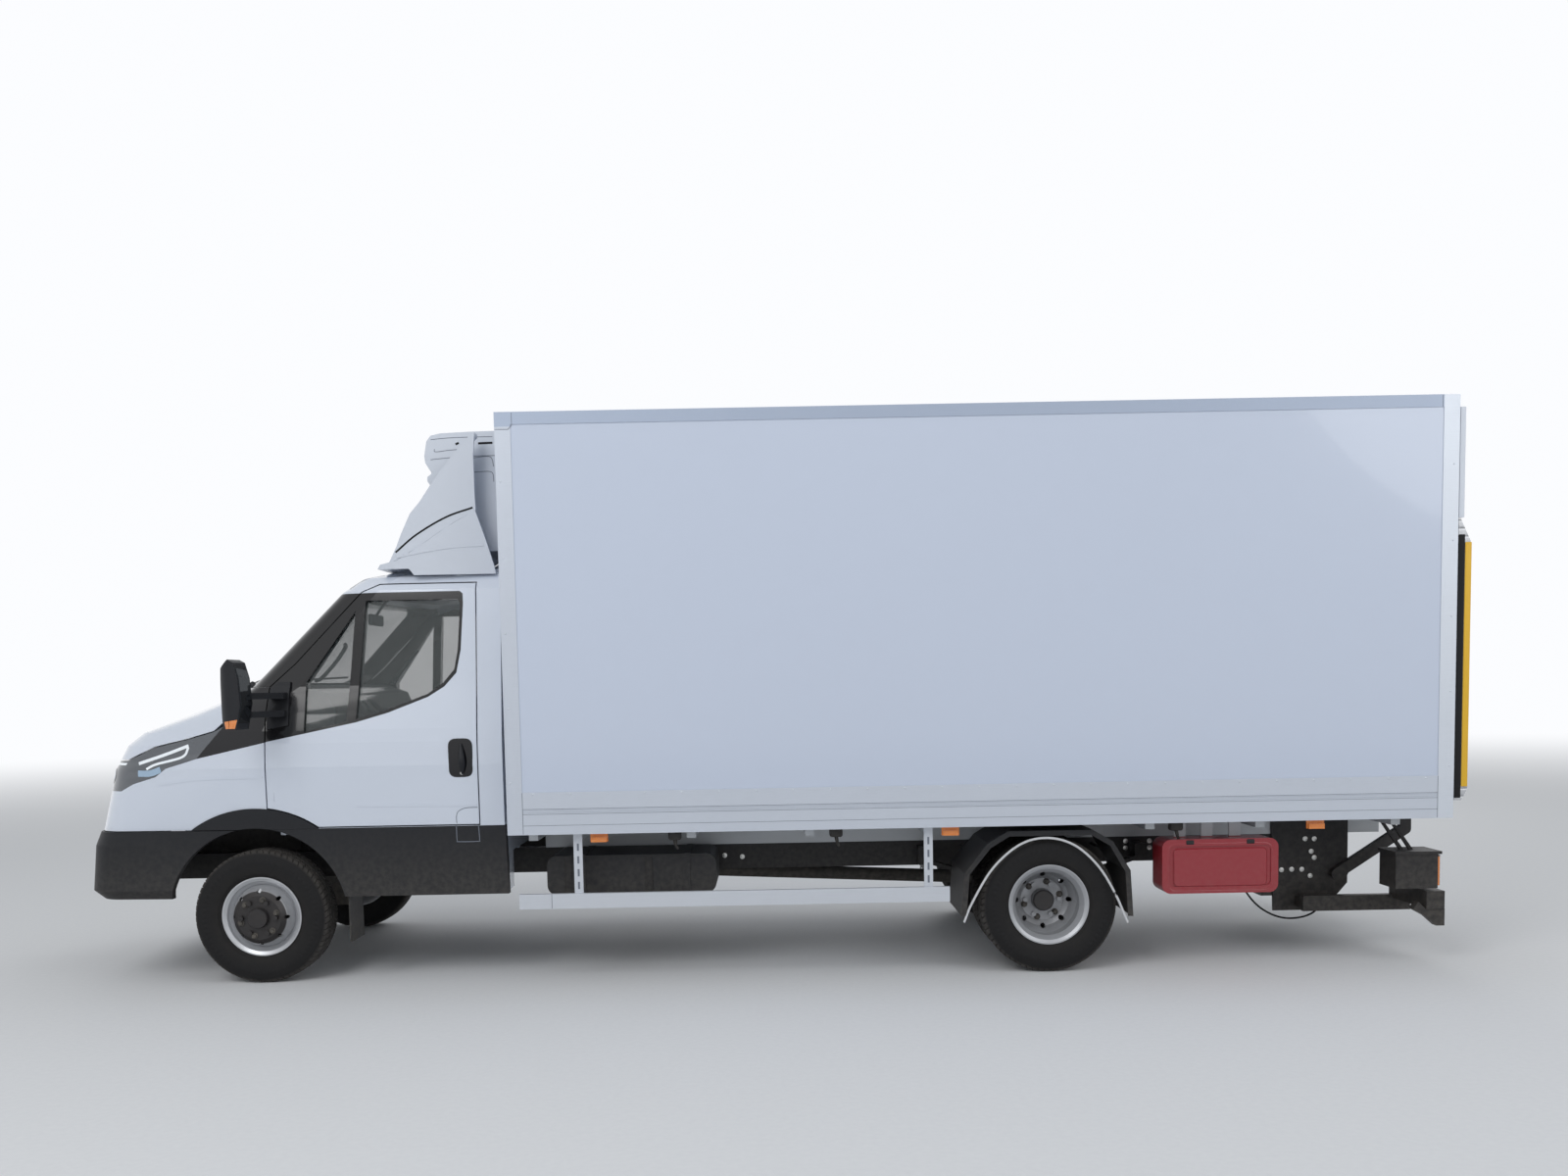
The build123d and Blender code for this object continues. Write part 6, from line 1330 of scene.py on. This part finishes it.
@dataclass
class Underbody:
    """What hangs below the box: painted shade in the guard's slots, hooks, bolts, tank straps, mudguard edging and the
    case's lid.
    """

    stays: tuple[float, ...] = (1.782, 3.690)
    slots: tuple[float, ...] = (0.53, 0.60, 0.67, 0.74)
    slot_half: float = 0.020
    cap_seam: Line = ((1.636, 0.410), (1.636, 0.449), (1.636, 0.488))
    hooks: tuple[float, ...] = (2.308, 3.190, 5.050)
    hook_half: float = 0.036
    hook_line: tuple[Place, ...] = ((0.0, 1.02, 0.78), (0.004, 1.03, 0.745), (0.016, 1.02, 0.716))
    rail_bolts: Line = (
        (2.492, 0.602), (2.556, 0.600), (2.660, 0.591), (4.930, 0.640), (4.930, 0.600), (5.070, 0.640), (5.070, 0.600),
    )  # fmt: skip
    edging: Line = (
        (3.878, 0.291), (3.925, 0.402), (4.037, 0.585), (4.184, 0.711), (4.331, 0.745),
        (4.477, 0.705), (4.605, 0.592), (4.697, 0.443), (4.770, 0.274),
    )  # fmt: skip
    edging_y: float = 1.086
    straps: tuple[float, ...] = (1.700, 2.150)
    strap_heights: tuple[float, ...] = (0.462, 0.52, 0.58, 0.64, 0.672)
    strap_bands: tuple[Place, ...] = ((0.0, 0.040, 0.003), (-0.017, 0.006, 0.005), (0.017, 0.006, 0.005))
    case: Rectangle = (5.030, 5.540, 0.458, 0.668)
    rim_margin: Spot = (0.03, 0.025)
    latch_inset: float = 0.09
    latch_half: float = 0.022

    def build(self) -> None:
        """Makes both sides, then the pieces of the left side alone."""
        for side, sign in SIDES:
            self.guard(side, sign)
            self.mudguard(side, sign)
        self.tank()
        self.lid()

    def guard(self, side: str, sign: int) -> None:
        """Painted shade in the slots down the brackets and along the seam of the rail's end cap, hooks under the floor
        and bolts on the rail.
        """
        work = Patchwork(f"guard_details_{side}").paint(Look.SEAM)
        for stay in self.stays:
            for height in self.slots:
                path = [(stay, height - self.slot_half), (stay, height), (stay, height + self.slot_half)]
                work.stripe(path, 0.011, sign, "side_guards", steps=4)
        work.stripe(self.cap_seam, 0.003, sign, "side_guards", steps=3, columns=2)
        work.build("chassis", "dark_plastic")
        work = Patchwork(f"floor_hooks_{side}").paint(Look.CAST)
        for hook in self.hooks:
            work.block((hook + self.hook_half, hook - self.hook_half), (0.985, 1.045), (0.765, 0.816), sign, 0.014, 4)
            drop = [(behind(hook + back), sign * y, z) for back, y, z in self.hook_line]
            work.tube(curve(drop, 6), np.linspace(0.012, 0.007, 13), 12)
        work.paint(Look.BRIGHT_BOLT)
        work.bolts(laid(side_view(self.rail_bolts, sign), "frame_rails", sign), (0, sign, 0), *BOLT)
        work.build("chassis", "cast_grey")

    def mudguard(self, side: str, sign: int) -> None:
        """A pale rubber edge along the mudguard's lip."""
        work = Patchwork(f"mudguard_edging_{side}").paint(Look.PALE_TRIM)
        work.tube(curve([(behind(u), sign * self.edging_y, z) for u, z in self.edging]), 0.0065)
        work.build("chassis", "bare_aluminium")

    def tank(self) -> None:
        """Two straps down the tank's outer face, with a bead along each edge."""
        work = Patchwork("tank_straps").paint(Look.BLACK_STEEL)
        for place in self.straps:
            for shift, width, proud in self.strap_bands:
                path = [(place + shift, height) for height in self.strap_heights]
                work.stripe(path, width, 1, "fuel_tank", 0.001, proud, 4)
        work.build("chassis", "frame_black")

    def lid(self) -> None:
        """The extinguisher case's lid: a raised panel inside a raised rim, with two latches above."""
        front, rear, low, high = self.case
        surface = float(laid(side_view([((front + rear) / 2, (low + high) / 2)], 1), "extinguisher_box", 1)[0, 1])
        work = Patchwork("case_lid").paint(Look.RED_LID)
        outline = rounded(oblong(0.0, rear - front, low, high), 0.03, 5)
        work.plate(outline, (behind(front), surface - 0.002, 0.0), (-1, 0, 0), (0, 0, 1), 0.012, 0.005)
        aside, above = self.rim_margin
        rim = rounded(oblong(front - aside, rear + aside, low - above, high + above), 0.05, 6)
        path = np.stack([behind(rim[:, 0]), np.full(len(rim), surface + 0.001), rim[:, 1]], 1)
        work.tube(path, 0.006, 8, closed=True)
        work.paint(Look.GRAINED)
        for place in (front + self.latch_inset, rear - self.latch_inset):
            across, height = (surface - 0.03, surface + 0.009), (high + 0.020, high + 0.046)
            work.block((place - self.latch_half, place + self.latch_half), across, height, 1, 0.005)
        work.build("chassis", "case_red")


@dataclass
class TailLift:
    """The tail lift's small parts: plate bolts, platform edge strips, rear lamp lenses and the hanging hose."""

    plate_bolts: Line = (
        (5.986, 0.636), (6.040, 0.635), (6.023, 0.561), (6.041, 0.524),
        (6.018, 0.416), (5.908, 0.456), (5.848, 0.454), (5.968, 0.455),
    )  # fmt: skip
    strips: tuple[tuple[Look, Spot, Spot, float], ...] = (
        (Look.SOFT_RUBBER, (6.5195, 6.553), (0.925, 2.330), 0.003),
        (Look.YELLOW, (6.555, 6.5895), (0.985, 2.290), 0.004),
    )
    strip_y: Spot = (1.112, 1.1245)
    lenses: tuple[tuple[Look, float, float], ...] = (
        (Look.RED_LENS, 0.812, 0.890),
        (Look.AMBER, 0.893, 0.945),
        (Look.CLEAR_LENS, 0.948, 0.988),
    )
    lens_depth: Spot = (6.513, 6.519)
    lens_height: Spot = (0.432, 0.600)
    hose: tuple[Place, ...] = (
        (5.600, 0.400, 0.521), (5.602, 0.402, 0.450), (5.620, 0.440, 0.350), (5.700, 0.480, 0.235),
        (5.830, 0.500, 0.170), (5.960, 0.515, 0.180), (6.045, 0.520, 0.230), (6.060, 0.446, 0.262),
    )  # fmt: skip
    hose_diameter: float = 0.011
    hose_length: float = 0.757

    def cord(self) -> None:
        """The hose that hangs from the frame rail to the tail lift's plate, on one smooth spline."""
        data = bpy.data.curves.new("lift_hose", "CURVE")
        data.dimensions = "3D"
        data.bevel_depth = self.hose_diameter / 2
        data.bevel_resolution = 4
        spline = data.splines.new("NURBS")
        route = np.array([(behind(u), y, z, 1.0) for u, y, z in self.hose])
        spline.points.add(len(route) - 1)
        spline.points.foreach_set("co", route.ravel())
        spline.order_u = 3
        spline.use_endpoint_u = True
        spline.resolution_u = 16
        data.use_fill_caps = True
        data.materials.append(Look.SOFT_RUBBER.material)
        made = placed("lift_hose", data)
        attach(made, "chassis")

    def build(self) -> None:
        """Makes both sides' pieces."""
        for side, sign in SIDES:
            work = Patchwork(f"lift_plate_bolts_{side}").paint(Look.BRIGHT_BOLT)
            work.bolts(laid(side_view(self.plate_bolts, sign), "tail_lift_frame", sign), (0, sign, 0), *BOLT)
            work.build("chassis", "zinc_grey")
            work = Patchwork(f"platform_edge_{side}")
            for look, along, height, radius in self.strips:
                work.paint(look).block(along, self.strip_y, height, sign, radius)
            work.build("platform", "platform_metal")
            work = Patchwork(f"rear_lamp_lenses_{side}")
            for look, *across in self.lenses:
                work.paint(look).block(self.lens_depth, across, self.lens_height, sign, 0.005)
            work.build("chassis", "lamp_lens")


# Camera, light and floor


@dataclass
class Studio:
    """The camera at the photograph's place, a pale floor and plain soft light."""

    distance: float = 8.35
    height: float = 1.6
    along: float = 2.857
    pitch_deg: float = 4.2
    roll_deg: float = 1.08
    focal_px: float = 1374.0
    image: tuple[int, int] = (1600, 1200)
    axis_px: Spot = (790.0, 800.0)
    sensor: float = 36.0
    lamps: tuple[tuple[str, Place, float], ...] = (
        ("key", (5.0, 9.5, 8.5), 480.0),
        ("fill", (-8.0, 7.0, 6.0), 190.0),
        ("back", (-3.0, -9.5, 7.0), 220.0),
    )
    lamp_size: float = 7.0
    aim: Place = (0.0, 0.0, 1.2)
    sky: Colour = (0.94, 0.97, 1.0)
    sky_strength: float = 0.5
    backdrop: Colour = (0.97, 0.98, 1.0)
    fade: Spot = (8.0, 34.0)
    floor_reach: float = 60.0

    def camera(self) -> None:
        """Looks along -Y, pitched down and rolled a little, with the shift that puts the optical axis at its pixel."""
        data = bpy.data.cameras.new("camera")
        made = placed("camera", data)
        wide, tall = self.image
        data.sensor_width = self.sensor
        data.lens = self.focal_px / wide * self.sensor
        data.shift_x = (wide / 2 - self.axis_px[0]) / wide
        data.shift_y = (self.axis_px[1] - tall / 2) / wide
        data.clip_end = 500.0
        pitch, roll = math.radians(self.pitch_deg), math.radians(self.roll_deg)
        ahead = Vector((0, -math.cos(pitch), -math.sin(pitch)))
        level = Vector((-1, 0, 0))
        upright = level.cross(ahead)
        right = level * math.cos(roll) - upright * math.sin(roll)
        up = upright * math.cos(roll) + level * math.sin(roll)
        turn = Matrix((right, up, -ahead)).transposed().to_4x4()
        made.matrix_world = Matrix.Translation((behind(self.along), self.distance, self.height)) @ turn
        bpy.context.scene.camera = made

    def light(self) -> None:
        """A large soft lamp over the camera's shoulder and two weaker ones from the other sides."""
        for name, place, power in self.lamps:
            data = bpy.data.lights.new(name, "AREA")
            data.shape, data.size, data.energy = "DISK", self.lamp_size, power
            made = placed(name, data)
            made.location = place
            made.rotation_euler = (Vector(self.aim) - Vector(place)).to_track_quat("-Z", "Y").to_euler()

    def world(self) -> None:
        """An even world, with a paler backdrop for the rays that are seen, mirrored or let through."""
        world = bpy.data.worlds.new("studio")
        bpy.context.scene.world = world
        world.use_nodes = True
        nodes = world.node_tree.nodes
        even, backdrop = nodes["Background"], nodes.new("ShaderNodeBackground")
        even.inputs["Color"].default_value = (*self.sky, 1.0)
        even.inputs["Strength"].default_value = self.sky_strength
        backdrop.inputs["Color"].default_value = (*self.backdrop, 1.0)
        rays = nodes.new("ShaderNodeLightPath").outputs
        first, second = nodes.new("ShaderNodeMath"), nodes.new("ShaderNodeMath")
        first.operation = second.operation = "MAXIMUM"
        mixed = nodes.new("ShaderNodeMixShader")
        for source, target in (
            (rays["Is Camera Ray"], first.inputs[0]),
            (rays["Is Glossy Ray"], first.inputs[1]),
            (first.outputs[0], second.inputs[0]),
            (rays["Is Transmission Ray"], second.inputs[1]),
            (second.outputs[0], mixed.inputs[0]),
            (even.outputs[0], mixed.inputs[1]),
            (backdrop.outputs[0], mixed.inputs[2]),
            (mixed.outputs[0], nodes["World Output"].inputs[0]),
        ):
            world.node_tree.links.new(source, target)

    def floor(self) -> None:
        """A pale flat floor that fades into the backdrop."""
        tree = Tree("studio floor")
        grain = tree.noise(tree.place(), 35.0, 4.0)
        tree.finish(Base_Color=tree.mix((0.70, 0.71, 0.73), (0.76, 0.77, 0.78), grain), Roughness=0.85)
        x, y, _ = tree.axes()
        glow = tree.node("Emission", {}, {"Color": self.backdrop, "Strength": 1.0})
        lit = Link(tree, tree.shader.outputs[0])
        mixed = tree.node("MixShader", {}, {0: x.length(y).ramp(*self.fade), 1: lit, 2: glow})
        tree.links.new(mixed.socket, tree.nodes["Material Output"].inputs[0])
        reach = np.linspace(-self.floor_reach, self.floor_reach, 5)
        index = np.arange(reach.size**2).reshape(reach.size, reach.size)
        faces = np.stack([index[:-1, :-1], index[1:, :-1], index[1:, 1:], index[:-1, 1:]], -1).reshape(-1, 4)
        points = np.stack(np.broadcast_arrays(reach[:, None], reach[None], 0.0), -1).reshape(-1, 3)
        mesh = bpy.data.meshes.new("floor")
        mesh.from_pydata(points, [], faces.tolist())
        mesh.materials.append(tree.material)
        placed("floor", mesh)

    def build(self) -> None:
        """Sets the whole studio up."""
        self.camera()
        self.light()
        self.world()
        self.floor()
        bpy.context.scene.view_settings.view_transform = "Standard"


def main() -> None:
    """Builds the studio and every part of the truck's looks, in order."""
    logging.basicConfig(level=logging.INFO, format="%(message)s")
    Studio().build()
    lift = TailLift()
    lift.cord()
    dress_nodes()
    for assembly in (Wheels(), WheelNuts(), Seats(), CabTrim(), RoofTrim(), BoxTrim(), Underbody(), lift):
        assembly.build()


if __name__ == "__main__":
    main()
